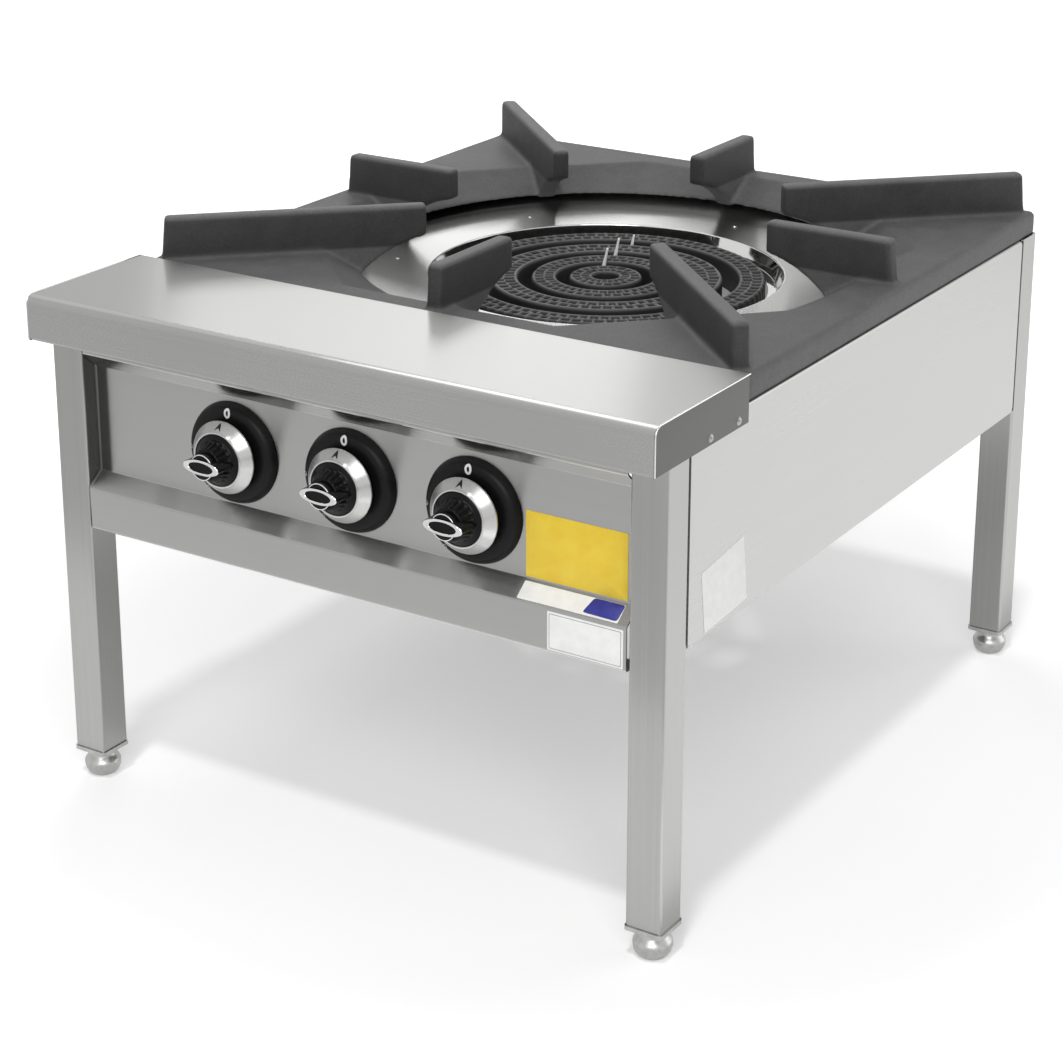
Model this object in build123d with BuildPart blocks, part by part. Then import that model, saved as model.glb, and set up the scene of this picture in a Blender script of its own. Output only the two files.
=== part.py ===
from build123d import *
import os
from math import atan2, cos, degrees, hypot, radians, sin, sqrt

os.makedirs("parts", exist_ok=True)

# Floor gas stove, millimetres. The front faces -Y, +X is its right, the feet stand on Z = 0.

# Overall sizes
WIDTH = 600.0             # over the shelf's end flanges
DEPTH = 720.0             # shelf lip to the back of the rear legs
SHELF_TOP = 451.0         # polished top of the front shelf
DECK_Z = 426.0            # level of the flanges that carry the tray and the pan support
SHEET = 1.5               # stainless sheet
BEND = 2.0                # bend radius at the middle of the sheet
FIT = 0.05                # radial clearance of a shaft, shank or thread in its hole
SEAM = 0.4                # gap between a panel and the leg beside it

# Legs and feet
LEG = 32.0
LEG_WALL = 1.5
LEG_ROUND = 2.5
LEG_SETBACK = 25.0        # shelf lip to the front of the legs
CAP_T = 3.5
CAP_PROUD = 1.2
FOOT_H = 25.0
FOOT_R = 16.0
FOOT_WAIST_Z = 12.0       # height of the bulb's widest circle
FOOT_BASE_R = 8.0
FOOT_NECK_R = 11.5
STUD_R = 5.0
STUD_LENGTH = 45.0

# Front shelf
SHELF_DEPTH = 144.0
LIP = 39.0
LIP_ROUND = 8.0           # outer radius of the front top bend
HEM = 14.0
REAR_FLANGE = 25.0
RIVET_R = 2.0
RIVET_HEAD_R = 3.5
RIVET_HEAD_H = 1.5
RIVET_RISE = 5.5          # rivet centre above the lip's lower edge
RIVET_SETS = (85.0, 129.0)  # rivet distances behind the lip

# Control panel and knobs
PANEL_GAP = 2.0
PANEL_RECESS = 16.5       # panel face behind the front of the legs
BROW_Z = 400.0            # where the upper strip starts to slope back
FACE_TOP = 385.0
FACE_BOTTOM = 290.5
RAIL_TOP = 278.0
RAIL_BOTTOM = 241.7
PANEL_RETURN = 20.0
KNOB_Z = 336.0
KNOB_PITCH = 118.0
KNOB_REACH = 44.5         # knob front before the panel face
PUSH = 4.0                # travel of a knob that is pushed to light
BEZEL_R = 44.0
BEZEL_TOP_R = 36.0
BEZEL_BORE_R = 26.0
BEZEL_H = 8.0
BEZEL_EDGE = 1.5
SKIRT_R = 31.25
SKIRT_TOP_R = 23.5
SKIRT_REAR = 14.0         # skirt rear before the panel face
SKIRT_H = 9.0
SKIRT_EDGE = 1.4
CORE_R = 22.0
CORE_REAR = 9.5           # core rear before the panel face
CORE_TOP_R = 13.0
CORE_H = 28.0
GRIP_LENGTH = 34.0
GRIP_WIDTH = 12.6
GRIP_ROUND_R = 11.0
GRIP_CORNER = 1.5
GRIP_EDGE = 1.0

# Valves
VALVE_R = 15.0
VALVE_LENGTH = 58.0
VALVE_FLANGE_R = 18.0
VALVE_FLANGE_T = 4.0
NECK_R = 10.0
NECK_LENGTH = 5.0         # neck before the panel's front face
NECK_ROOM = 0.5
NUT_AF = 27.0
NUT_T = 4.0
PLUG_R = 8.0
PLUG_LENGTH = 36.0
PLUG_INSET = 12.0         # plug front behind the panel's rear face
PLUG_PLAY = 0.3           # end play of the plug
SPINDLE_R = 4.0
SPINDLE_FLAT = 2.5        # flat of the spindle above its axis
SPINDLE_IN_PLUG = 11.0
SPINDLE_IN_KNOB = 13.0
GAS_BORE_R = 3.5
VALVE_INLET = 30.0        # inlet behind the panel's rear face
INLET_STUB_R = 10.0

# Gas train
MANIFOLD_R = 10.65
MANIFOLD_BORE_R = 8.0
MANIFOLD_Z = 300.0
MANIFOLD_BOSS = 16.0      # boss top above the manifold's axis
MANIFOLD_LEFT = 160.0     # closed end, left of the middle
MANIFOLD_END = 4.0
INLET_SIDE = 75.0         # inlet pipe inside the right-hand flange
INLET_BEND = 22.0
INLET_REACH = 25.0        # inlet end behind the back
INLET_THREAD_R = 10.4775  # half of a G 1/2 pipe thread
INLET_THREAD = 16.0
LOCKNUT_AF = 36.0
LOCKNUT_T = 7.0
PIPE_ROOM = 0.6
GAS_TUBE_R = 5.0
GAS_TUBE_BORE_R = 3.5
GAS_TUBE_BEND = 9.0
GAS_TUBE_LEAD = 24.0      # straight run behind a valve
GAS_TUBE_TAIL = 26.0      # straight run before an injector
BAR_PLATE_T = 4.0
BAR_PLATE_FRONT = 163.0   # injector plate's front face behind the shelf lip
BAR_PLATE_BOTTOM = 346.0
BAR_PLATE_MARGIN = 38.0
INJECTOR_R = 6.0
INJECTOR_HEAD_R = 9.0
INJECTOR_HEAD_T = 4.0
INJECTOR_LENGTH = 24.0
INJECTOR_TIP_R = 2.5
INJECTOR_JET_R = 1.2
SHUTTER_R = 22.0
SHUTTER_T = 2.0

# Panels
FLANGE = 25.0
PANEL_BOTTOM = 257.0
PANEL_ROUND = 6.0
PANEL_EDGE = 1.2

# Pan support and tray
GRATE_SIDE = 3.0          # pan support inside the shelf's end flanges
GRATE_GAP = 2.0           # pan support behind the shelf
GRATE_H = 21.0
GRATE_CORNER = 5.0
GRATE_EDGE = 5.0
GRATE_SKIRT = 8.0
GRATE_TOP_T = 7.0
WELL_EDGE = 30.0          # plate's edge to the octagon at the top of the funnel
FUNNEL_RUN = 32.0         # octagon to the round rim at the funnel's foot
RIM_RISE = 1.5            # rim edge above the deck
FUNNEL_FOOT = 9.0         # wall of the funnel at the rim
FUNNEL_BACK = 10.0        # back of the funnel's top outside the octagon
ARM_W = 15.0
ARM_RISE = 38.0           # arm tops above the plate
ARM_TIP_R = 165.0
ARM_TIP_H = 28.0
ARM_ARCH = 1.6            # radius of an arm's arched underside, in lengths of its chord
ARM_DROP = 2.0            # foot of an arm's arch below the deck
ARM_BACK = 11.0           # arm end inside the plate's edge
ARM_CORNER_BACK = 14.0
ARM_DRAFT = 4.0
ARM_EDGE = 3.0
ARM_ROOT = 5.0            # depth of an arm's root in the plate
TRAY_SHEET = 1.0
TRAY_ROOM = 3.0           # tray edge to the pan support's skirt
TRAY_DISH_IN = 6.0        # dish edge inside the octagon
TRAY_WALL = 30.0          # sloping wall of the dish
TRAY_FALL = 2.0           # fall of the dish's floor to the hole
TRAY_HOLE_R = 161.4
TRAY_HOLE_Z = 411.0
TRAY_COLLAR = 14.0        # turned-down edge of the hole
TRAY_RING_R = 147.5       # inner edge of the flat ring at the collar's foot

# Burner: ring castings on three gas circuits
BURNER_TOP = 408.0
BURNER_H = 26.0
BURNER_WALL = 4.0
PORT_R = 1.5
PORT_PITCH = 12.0
PORT_ROWS = 0.24          # offset of each port row from a ring's middle, in ring widths
RING_1 = (12.0, 33.0)
RING_2 = (45.0, 67.5)
RING_3 = (80.0, 106.0)
RING_4 = (121.0, 145.0)
BRIDGE_W = 14.0
BRIDGE_BORE_R = 4.0
MIX_Z = 366.0
MIX_R = 15.0
MIX_BORE_R = 11.0
STUB_R = 12.0
STUB_BORE_R = 7.0
BELL_R = 22.0
BELL_LENGTH = 14.0
BELL_FRONT = 191.0        # bell mouth behind the shelf lip
BURNER_FOOT_R = 5.0
BURNER_FOOT_OFFSET = 26.0  # feet before and behind the burner's middle
BAR_W = 30.0
BAR_T = 5.0
BAR_TOP = 345.0
BAR_OFFSET = 36.0         # support bars before and behind the burner's middle
BRACKET_T = 2.0
BRACKET_W = 9.0           # strip under each probe
BRACKET_END = 9.0         # strip's end behind its probe
PROBE_BASE_R = 4.0
PROBE_BASE_H = 4.0
PROBE_R = 2.0
PROBE_TAPER = 20.0
PROBE_TIP_R = 0.9
PROBE_TOPS = (416.5, 423.5, 423.5)  # outer, middle and inner circuit
LEAD_R = 1.0
LEAD_BEND = 15.0
LEAD_OFFSET = (9.0, -7.0)  # lead's end from a valve's axis, across and up

# Places that follow from the sizes
KNOB_PROUD = KNOB_REACH - LEG_SETBACK - PANEL_RECESS
FRONT_Y = KNOB_PROUD - (KNOB_PROUD + DEPTH + INLET_REACH) / 2
BACK_Y = FRONT_Y + DEPTH
INLET_Y = BACK_Y + INLET_REACH
LEG_OUT = WIDTH / 2 - SHEET
LEG_X = LEG_OUT - LEG / 2
INLET_X = WIDTH / 2 - INLET_SIDE
LEG_FRONT = FRONT_Y + LEG_SETBACK
LEG_FRONT_Y = LEG_FRONT + LEG / 2
LEG_REAR_Y = BACK_Y - LEG / 2
LEG_BOTTOM = FOOT_H + CAP_T
PANEL_Y = LEG_FRONT + PANEL_RECESS
PANEL_BACK = PANEL_Y + SHEET
SHELF_BACK = FRONT_Y + SHELF_DEPTH
LIP_BOTTOM = SHELF_TOP - LIP
GRATE_W = WIDTH - 2 * GRATE_SIDE
GRATE_D = DEPTH - SHELF_DEPTH - GRATE_GAP
WELL_APOTHEM = min(GRATE_W, GRATE_D) / 2 - WELL_EDGE
WELL_R = WELL_APOTHEM - FUNNEL_RUN
FUNNEL_BACK_R = WELL_APOTHEM + FUNNEL_BACK
TRAY_DISH_R = WELL_APOTHEM - TRAY_DISH_IN
TRAY_FLOOR_R = TRAY_DISH_R - TRAY_WALL
TRAY_FLOOR_Z = TRAY_HOLE_Z + TRAY_FALL
TRAY_RING_Z = TRAY_HOLE_Z - TRAY_COLLAR
GRATE_Y = BACK_Y - GRATE_D / 2
GRATE_TOP = DECK_Z + GRATE_H
ARM_TOP = GRATE_TOP + ARM_RISE
RIM_Z = DECK_Z + RIM_RISE
KNOB_XS = (-KNOB_PITCH, 0.0, KNOB_PITCH)
VALVE_BACK = PANEL_BACK + VALVE_LENGTH
PLUG_FRONT = PANEL_BACK + PLUG_INSET
INLET_PORT_Y = PANEL_BACK + VALVE_INLET
BOSS_TOP = MANIFOLD_Z + MANIFOLD_BOSS
PLATE_FRONT = FRONT_Y + BAR_PLATE_FRONT
PLATE_BACK = PLATE_FRONT + BAR_PLATE_T
BELL_Y = FRONT_Y + BELL_FRONT
BURNER_BOTTOM = BURNER_TOP - BURNER_H
BRACKET_TOP = BAR_TOP + BRACKET_T

# Each circuit, in the order of the knobs from the left: its rings, its mixing tube's X and its probe
CIRCUITS = (
    ("burner_outer", (RING_4,), -93.0, (-39.5, 106.5)),
    ("burner_middle", (RING_3,), -30.0, (-34.4, 67.2)),
    ("burner_inner", (RING_2, RING_1), 20.0, (-26.0, 32.5)),
)


def facing_front(y):
    """Plane across the stove at y: sketch X is world X, sketch Y is height, extrude goes forward."""
    return Plane.XZ.offset(-y)


def upright(x, y, angle=0.0):
    """Upright plane through (x, y): sketch X points along angle, sketch Y is height."""
    turn = radians(angle)
    return Plane(origin=(x, y, 0), x_dir=(cos(turn), sin(turn), 0), z_dir=(sin(turn), -cos(turn), 0))


def across(path):
    """Plane square to the start of a path."""
    return Plane(origin=path.line @ 0, z_dir=path.line % 0)


# Legs: square tubes, the front pair up to the shelf and the rear pair up to the deck
LEGS = (
    ("leg_front_left", -LEG_X, LEG_FRONT_Y, SHELF_TOP - SHEET),
    ("leg_front_right", LEG_X, LEG_FRONT_Y, SHELF_TOP - SHEET),
    ("leg_rear_left", -LEG_X, LEG_REAR_Y, DECK_Z),
    ("leg_rear_right", LEG_X, LEG_REAR_Y, DECK_Z),
)
LEG_PLACES = [(x, y) for _, x, y, _ in LEGS]

for name, x, y, top in LEGS:
    with BuildPart() as leg:
        with BuildSketch(Plane.XY.offset(LEG_BOTTOM)):
            with Locations((x, y)):
                RectangleRounded(LEG, LEG, LEG_ROUND)
                inside = LEG - 2 * LEG_WALL
                RectangleRounded(inside, inside, LEG_ROUND - LEG_WALL, mode=Mode.SUBTRACT)
        extrude(amount=top - LEG_BOTTOM)
    leg.part.label = name
    export_step(leg.part, f"parts/{name}.step")

# End plates under the legs, tapped for the feet
with BuildPart() as leg_end_caps:
    with BuildSketch(Plane.XY.offset(FOOT_H)):
        with Locations(*LEG_PLACES):
            side = LEG + 2 * CAP_PROUD
            RectangleRounded(side, side, LEG_ROUND + CAP_PROUD)
            Circle(STUD_R + FIT, mode=Mode.SUBTRACT)
    extrude(amount=CAP_T)
leg_end_caps.part.label = "leg_end_caps"
export_step(leg_end_caps.part, "parts/leg_end_caps.step")

# Feet: a bulb that flattens to its base, a neck against the end plate and a stud inside the leg
for name, x, y, _ in LEGS:
    foot_name = name.replace("leg", "foot")
    with BuildPart() as foot:
        with BuildSketch(upright(x, y)):
            with BuildLine():
                waist = (FOOT_R, FOOT_WAIST_Z)
                bulb_top = (FOOT_NECK_R, FOOT_H - (FOOT_H - FOOT_WAIST_Z) / 3)
                stud_top = FOOT_H + STUD_LENGTH
                TangentArc(waist, (FOOT_BASE_R, 0), tangent=(0, -1))
                TangentArc(waist, bulb_top, tangent=(0, 1))
                Polyline(bulb_top, (FOOT_NECK_R, FOOT_H), (STUD_R, FOOT_H), (STUD_R, stud_top),
                         (0, stud_top), (0, 0), (FOOT_BASE_R, 0))
            make_face()
        revolve(axis=Axis((x, y, 0), (0, 0, 1)))
    foot.part.label = foot_name
    export_step(foot.part, f"parts/{foot_name}.step")

# Front shelf: hem, lip and top in one bend line, a rear drop to the deck, and two end flanges
half = SHEET / 2
INNER_X = LEG_OUT - FLANGE - 2 * SEAM     # clear of the side panels' top flanges
RIVET_YS = [FRONT_Y + back for back in RIVET_SETS]
RIVET_Z = LIP_BOTTOM + RIVET_RISE

with BuildPart() as front_shelf:
    with BuildSketch(Plane.YZ):
        with BuildLine():
            FilletPolyline(
                (FRONT_Y + HEM, LIP_BOTTOM + half),
                (FRONT_Y + half, LIP_BOTTOM + half),
                (FRONT_Y + half, SHELF_TOP - half),
                (SHELF_BACK, SHELF_TOP - half),
                radius=[BEND, LIP_ROUND - half],
            )
        trace(line_width=SHEET)
    extrude(amount=LEG_OUT, both=True)
    with BuildSketch(Plane.YZ):
        with BuildLine():
            FilletPolyline(
                (SHELF_BACK - LIP_ROUND, SHELF_TOP - half),
                (SHELF_BACK - half, SHELF_TOP - half),
                (SHELF_BACK - half, DECK_Z - half),
                (SHELF_BACK + REAR_FLANGE, DECK_Z - half),
                radius=BEND,
            )
        trace(line_width=SHEET)
    extrude(amount=INNER_X, both=True)
    for side in (-1, 1):
        with BuildSketch(Plane.YZ.offset(side * LEG_OUT)):
            with BuildLine():
                bend = RadiusArc((FRONT_Y, SHELF_TOP - LIP_ROUND), (FRONT_Y + LIP_ROUND, SHELF_TOP), LIP_ROUND)
                Polyline(bend @ 1, (SHELF_BACK, SHELF_TOP), (SHELF_BACK, LIP_BOTTOM), (FRONT_Y, LIP_BOTTOM),
                         bend @ 0)
            make_face()
            with Locations(*[(y, RIVET_Z) for y in RIVET_YS]):
                Circle(RIVET_R + FIT, mode=Mode.SUBTRACT)
        extrude(amount=side * SHEET)
front_shelf.part.label = "front_shelf"
export_step(front_shelf.part, "parts/front_shelf.step")

# Control panel: one folded sheet between the front legs
with BuildPart() as control_panel:
    with BuildSketch(Plane.YZ):
        with BuildLine():
            flange_z = SHELF_TOP - SHEET - half
            FilletPolyline(
                (LEG_FRONT + PANEL_RETURN, flange_z),
                (LEG_FRONT + half, flange_z),
                (LEG_FRONT + half, BROW_Z),
                (PANEL_Y + half, FACE_TOP),
                (PANEL_Y + half, FACE_BOTTOM),
                (LEG_FRONT + half, RAIL_TOP),
                (LEG_FRONT + half, RAIL_BOTTOM + half),
                (LEG_FRONT + PANEL_RETURN, RAIL_BOTTOM + half),
                radius=BEND,
            )
        trace(line_width=SHEET)
    extrude(amount=LEG_X - LEG / 2 - PANEL_GAP, both=True)
    with BuildSketch(facing_front(PANEL_BACK + SHEET)):
        with Locations(*[(x, KNOB_Z) for x in KNOB_XS]):
            Circle(NECK_R + NECK_ROOM)
    extrude(amount=3 * SHEET, mode=Mode.SUBTRACT)
control_panel.part.label = "control_panel"
export_step(control_panel.part, "parts/control_panel.step")

# Side panels: folded pans between the legs, open to the inside, riveted under the shelf's end flanges
PANEL_Y0 = LEG_FRONT_Y + LEG / 2 + SEAM
PANEL_Y1 = LEG_REAR_Y - LEG / 2 - SEAM
PANEL_H = DECK_Z - PANEL_BOTTOM

for name, side in (("side_panel_left", -1), ("side_panel_right", 1)):
    with BuildPart() as side_panel:
        with BuildSketch(Plane.YZ.offset(side * (LEG_OUT - FLANGE))):
            with Locations(((PANEL_Y0 + PANEL_Y1) / 2, PANEL_BOTTOM + PANEL_H / 2)):
                outline = Rectangle(PANEL_Y1 - PANEL_Y0, PANEL_H)
            fillet(outline.vertices().group_by(Axis.Z)[0], PANEL_ROUND)
        extrude(amount=side * FLANGE)
        skin = side_panel.faces().filter_by(Axis.X).sort_by(Axis.X)
        outer = skin[-1] if side > 0 else skin[0]
        inner = skin[0] if side > 0 else skin[-1]
        fillet(outer.edges(), PANEL_EDGE)
        skin = side_panel.faces().filter_by(Axis.X).sort_by(Axis.X)
        inner = skin[0] if side > 0 else skin[-1]
        offset(amount=-SHEET, openings=inner)
        with BuildSketch(Plane.YZ.offset(side * LEG_OUT)):
            with Locations(*[(y, RIVET_Z) for y in RIVET_YS]):
                Circle(RIVET_R + FIT)
        extrude(amount=-side * 2 * SHEET, mode=Mode.SUBTRACT)
    side_panel.part.label = name
    export_step(side_panel.part, f"parts/{name}.step")

# Shelf rivets: domed heads outside, shanks through the end flange and the side panel
with BuildPart() as shelf_rivets:
    for side in (-1, 1):
        for y in RIVET_YS:
            with BuildSketch(Plane(origin=(0, y, RIVET_Z), x_dir=(side, 0, 0), z_dir=(0, -side, 0))):
                with BuildLine():
                    face_x = WIDTH / 2
                    head_round = (RIVET_HEAD_R ** 2 + RIVET_HEAD_H ** 2) / (2 * RIVET_HEAD_H)
                    dome = RadiusArc((face_x, RIVET_HEAD_R), (face_x + RIVET_HEAD_H, 0), head_round)
                    Polyline(dome @ 1, (face_x - 2 * SHEET, 0), (face_x - 2 * SHEET, RIVET_R), (face_x, RIVET_R),
                             dome @ 0)
                make_face()
            revolve(axis=Axis((0, y, RIVET_Z), (1, 0, 0)))
shelf_rivets.part.label = "shelf_rivets"
export_step(shelf_rivets.part, "parts/shelf_rivets.step")

# Back panel: a pan between the rear legs with a hole for the gas inlet
with BuildPart() as back_panel:
    with BuildSketch(facing_front(BACK_Y)):
        with Locations((0, PANEL_BOTTOM + PANEL_H / 2)):
            Rectangle(2 * (LEG_X - LEG / 2 - SEAM), PANEL_H)
    extrude(amount=FLANGE)
    fillet(back_panel.faces().sort_by(Axis.Y)[-1].edges(), PANEL_EDGE)
    offset(amount=-SHEET, openings=back_panel.faces().sort_by(Axis.Y)[0])
    with BuildSketch(facing_front(BACK_Y + SHEET)):
        with Locations((INLET_X, MANIFOLD_Z)):
            Circle(MANIFOLD_R + PIPE_ROOM)
    extrude(amount=3 * SHEET, mode=Mode.SUBTRACT)
back_panel.part.label = "back_panel"
export_step(back_panel.part, "parts/back_panel.step")

# Drip tray: a flat flange on the deck and a shallow dish whose round hole has a turned-down collar,
# with a flat ring at its foot that closes the gap to the burner
with BuildPart() as drip_tray:
    with BuildSketch(Plane.XY.offset(DECK_Z)):
        with Locations((0, GRATE_Y)):
            edge = 2 * (GRATE_SKIRT + TRAY_ROOM)
            Rectangle(GRATE_W - edge, GRATE_D - edge)
            Circle(TRAY_DISH_R, mode=Mode.SUBTRACT)
    extrude(amount=TRAY_SHEET)
    with BuildSketch(upright(0, GRATE_Y)):
        with BuildLine():
            sheet = TRAY_SHEET
            Polyline(
                (TRAY_RING_R, TRAY_RING_Z),
                (TRAY_HOLE_R + sheet, TRAY_RING_Z),
                (TRAY_HOLE_R + sheet, TRAY_HOLE_Z),
                (TRAY_FLOOR_R, TRAY_FLOOR_Z),
                (TRAY_DISH_R, DECK_Z),
                (TRAY_DISH_R + sheet, DECK_Z),
                (TRAY_DISH_R + sheet, DECK_Z + sheet),
                (TRAY_DISH_R, DECK_Z + sheet),
                (TRAY_FLOOR_R, TRAY_FLOOR_Z + sheet),
                (TRAY_HOLE_R, TRAY_HOLE_Z + sheet),
                (TRAY_HOLE_R, TRAY_RING_Z + sheet),
                (TRAY_RING_R, TRAY_RING_Z + sheet),
                close=True,
            )
        make_face()
    revolve(axis=Axis((0, GRATE_Y, 0), (0, 0, 1)))
drip_tray.part.label = "drip_tray"
export_step(drip_tray.part, "parts/drip_tray.step")

# Pan support: its hollow underside, with the funnel's wall left standing
POCKET_TOP = GRATE_TOP - GRATE_TOP_T

with BuildPart() as grate_pocket:
    with BuildSketch(Plane.XY.offset(DECK_Z)):
        with Locations((0, GRATE_Y)):
            Rectangle(GRATE_W - 2 * GRATE_SKIRT, GRATE_D - 2 * GRATE_SKIRT)
    extrude(amount=GRATE_H - GRATE_TOP_T)
    with BuildSketch(upright(0, GRATE_Y)):
        with BuildLine():
            Polyline(
                (0, DECK_Z),
                (WELL_R + FUNNEL_FOOT, DECK_Z),
                (FUNNEL_BACK_R, POCKET_TOP),
                (0, POCKET_TOP),
                close=True,
            )
        make_face()
    revolve(axis=Axis((0, GRATE_Y, 0), (0, 0, 1)), mode=Mode.SUBTRACT)

# Its arms: four to the corners and four to the middles of the sides
CORNER_ANGLE = degrees(atan2(GRATE_D, GRATE_W))
CORNER_END = hypot(GRATE_W, GRATE_D) / 2 - ARM_CORNER_BACK
ARMS = (
    (0.0, GRATE_W / 2 - ARM_BACK),
    (CORNER_ANGLE, CORNER_END),
    (90.0, GRATE_D / 2 - ARM_BACK),
    (180.0 - CORNER_ANGLE, CORNER_END),
    (180.0, GRATE_W / 2 - ARM_BACK),
    (180.0 + CORNER_ANGLE, CORNER_END),
    (270.0, GRATE_D / 2 - ARM_BACK),
    (360.0 - CORNER_ANGLE, CORNER_END),
)

# Each arm has a square toe, an arched underside and rounded edges
arms = []
for angle, end in ARMS:
    with BuildPart() as arm:
        with BuildSketch(upright(0, GRATE_Y, angle)):
            with BuildLine():
                toe = (ARM_TIP_R, ARM_TOP - ARM_TIP_H)
                foot = (WELL_R, DECK_Z - ARM_DROP)
                under = RadiusArc(toe, foot, ARM_ARCH * hypot(foot[0] - toe[0], foot[1] - toe[1]))
                Polyline(
                    under @ 1,
                    (WELL_R + FUNNEL_FOOT, foot[1]),
                    (WELL_APOTHEM, GRATE_TOP - ARM_ROOT),
                    (end, GRATE_TOP - ARM_ROOT),
                    (end - ARM_DRAFT, ARM_TOP),
                    (ARM_TIP_R, ARM_TOP),
                    under @ 0,
                )
            make_face()
        extrude(amount=ARM_W / 2, both=True)
        fillet([edge for edge in arm.edges() if edge.center().Z > GRATE_TOP], ARM_EDGE)
    arms.append(arm.part)

with BuildPart() as pan_support_grate:
    with BuildSketch(Plane.XY.offset(DECK_Z)):
        with Locations((0, GRATE_Y)):
            RectangleRounded(GRATE_W, GRATE_D, GRATE_CORNER)
    extrude(amount=GRATE_H)
    fillet(pan_support_grate.faces().sort_by(Axis.Z)[-1].edges(), GRATE_EDGE)
    add(grate_pocket.part, mode=Mode.SUBTRACT)
    with BuildSketch(Plane.XY.offset(GRATE_TOP)):
        with Locations((0, GRATE_Y)):
            RegularPolygon(WELL_APOTHEM, 8, major_radius=False, rotation=22.5)
    with BuildSketch(Plane.XY.offset(RIM_Z)):
        with BuildLine():
            for step in range(8):
                CenterArc((0, GRATE_Y), WELL_R, 22.5 + 45 * step, 45)
        make_face()
    loft(ruled=True, mode=Mode.SUBTRACT)
    with BuildSketch(Plane.XY.offset(DECK_Z)):
        with Locations((0, GRATE_Y)):
            Circle(WELL_R)
    extrude(amount=RIM_RISE, mode=Mode.SUBTRACT)
    for arm in arms:
        add(arm)
pan_support_grate.part.label = "pan_support_grate"
export_step(pan_support_grate.part, "parts/pan_support_grate.step")

# Burner castings: hollow rings with two rows of ports, feet on the support bars, and a mixing tube
for name, rings, tube_x, _ in CIRCUITS:
    outer_ring = rings[0]
    middle_r = sum(outer_ring) / 2
    stub_y = GRATE_Y - sqrt(middle_r ** 2 - tube_x ** 2)
    foot_x = sqrt(middle_r ** 2 - BURNER_FOOT_OFFSET ** 2)
    with BuildPart() as burner:
        for inner_r, outer_r in rings:
            with BuildSketch(upright(0, GRATE_Y)):
                with Locations(((inner_r + outer_r) / 2, BURNER_TOP - BURNER_H / 2)):
                    Rectangle(outer_r - inner_r, BURNER_H)
            revolve(axis=Axis((0, GRATE_Y, 0), (0, 0, 1)))
        if len(rings) > 1:
            with BuildSketch(Plane.XY.offset(BURNER_BOTTOM)):
                with Locations((0, GRATE_Y)):
                    Rectangle(2 * outer_ring[0] + 2, BRIDGE_W)
                    Circle(rings[1][1] - 1, mode=Mode.SUBTRACT)
            extrude(amount=BRIDGE_W)
        with BuildSketch(Plane.XY.offset(BAR_TOP)):
            with Locations((0, GRATE_Y)):
                with GridLocations(2 * foot_x, 2 * BURNER_FOOT_OFFSET, 2, 2):
                    Circle(BURNER_FOOT_R)
        extrude(amount=BURNER_BOTTOM - BAR_TOP)
        with BuildSketch(Plane.YZ.offset(tube_x)):
            with BuildLine():
                Polyline(
                    (stub_y, MIX_Z),
                    (stub_y, MIX_Z + MIX_R),
                    (BELL_Y + BELL_LENGTH, MIX_Z + MIX_R),
                    (BELL_Y, MIX_Z + BELL_R),
                    (BELL_Y, MIX_Z),
                    close=True,
                )
            make_face()
        revolve(axis=Axis((tube_x, 0, MIX_Z), (0, 1, 0)))
        with Locations((tube_x, stub_y, MIX_Z)):
            Sphere(MIX_R)
        with BuildSketch(Plane.XY.offset(MIX_Z)):
            with Locations((tube_x, stub_y)):
                Circle(STUB_R)
        extrude(amount=BURNER_BOTTOM + BURNER_WALL - MIX_Z)
        for inner_r, outer_r in rings:
            with BuildSketch(upright(0, GRATE_Y)):
                with Locations(((inner_r + outer_r) / 2, BURNER_TOP - BURNER_H / 2)):
                    Rectangle(outer_r - inner_r - 2 * BURNER_WALL, BURNER_H - 2 * BURNER_WALL)
            revolve(axis=Axis((0, GRATE_Y, 0), (0, 0, 1)), mode=Mode.SUBTRACT)
        if len(rings) > 1:
            with BuildSketch(Plane.YZ.offset(-outer_ring[0] - BURNER_WALL)):
                with Locations((GRATE_Y, BURNER_BOTTOM + BRIDGE_W / 2)):
                    Circle(BRIDGE_BORE_R)
            extrude(amount=outer_ring[0] - rings[1][0], mode=Mode.SUBTRACT)
            with BuildSketch(Plane.YZ.offset(outer_ring[0] + BURNER_WALL)):
                with Locations((GRATE_Y, BURNER_BOTTOM + BRIDGE_W / 2)):
                    Circle(BRIDGE_BORE_R)
            extrude(amount=rings[1][0] - outer_ring[0], mode=Mode.SUBTRACT)
        with BuildSketch(Plane.YZ.offset(tube_x)):
            with BuildLine():
                Polyline(
                    (stub_y, MIX_Z),
                    (stub_y, MIX_Z + MIX_BORE_R),
                    (BELL_Y + BELL_LENGTH, MIX_Z + MIX_BORE_R),
                    (BELL_Y, MIX_Z + BELL_R - MIX_R + MIX_BORE_R),
                    (BELL_Y, MIX_Z),
                    close=True,
                )
            make_face()
        revolve(axis=Axis((tube_x, 0, MIX_Z), (0, 1, 0)), mode=Mode.SUBTRACT)
        with BuildSketch(Plane.XY.offset(MIX_Z)):
            with Locations((tube_x, stub_y)):
                Circle(STUB_BORE_R)
        extrude(amount=BURNER_BOTTOM + BURNER_WALL - MIX_Z, mode=Mode.SUBTRACT)
        with BuildSketch(Plane.XY.offset(BURNER_TOP)):
            for inner_r, outer_r in rings:
                row_offset = PORT_ROWS * (outer_r - inner_r)
                count = int(3.1416 * (inner_r + outer_r) / PORT_PITCH)
                for row_r, start in (((inner_r + outer_r) / 2 - row_offset, 0.0),
                                     ((inner_r + outer_r) / 2 + row_offset, 180.0 / count)):
                    with Locations((0, GRATE_Y)):
                        with PolarLocations(row_r, count, start_angle=start):
                            Circle(PORT_R)
        extrude(amount=-BURNER_WALL, mode=Mode.SUBTRACT)
    burner.part.label = name
    export_step(burner.part, f"parts/{name}.step")

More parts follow.
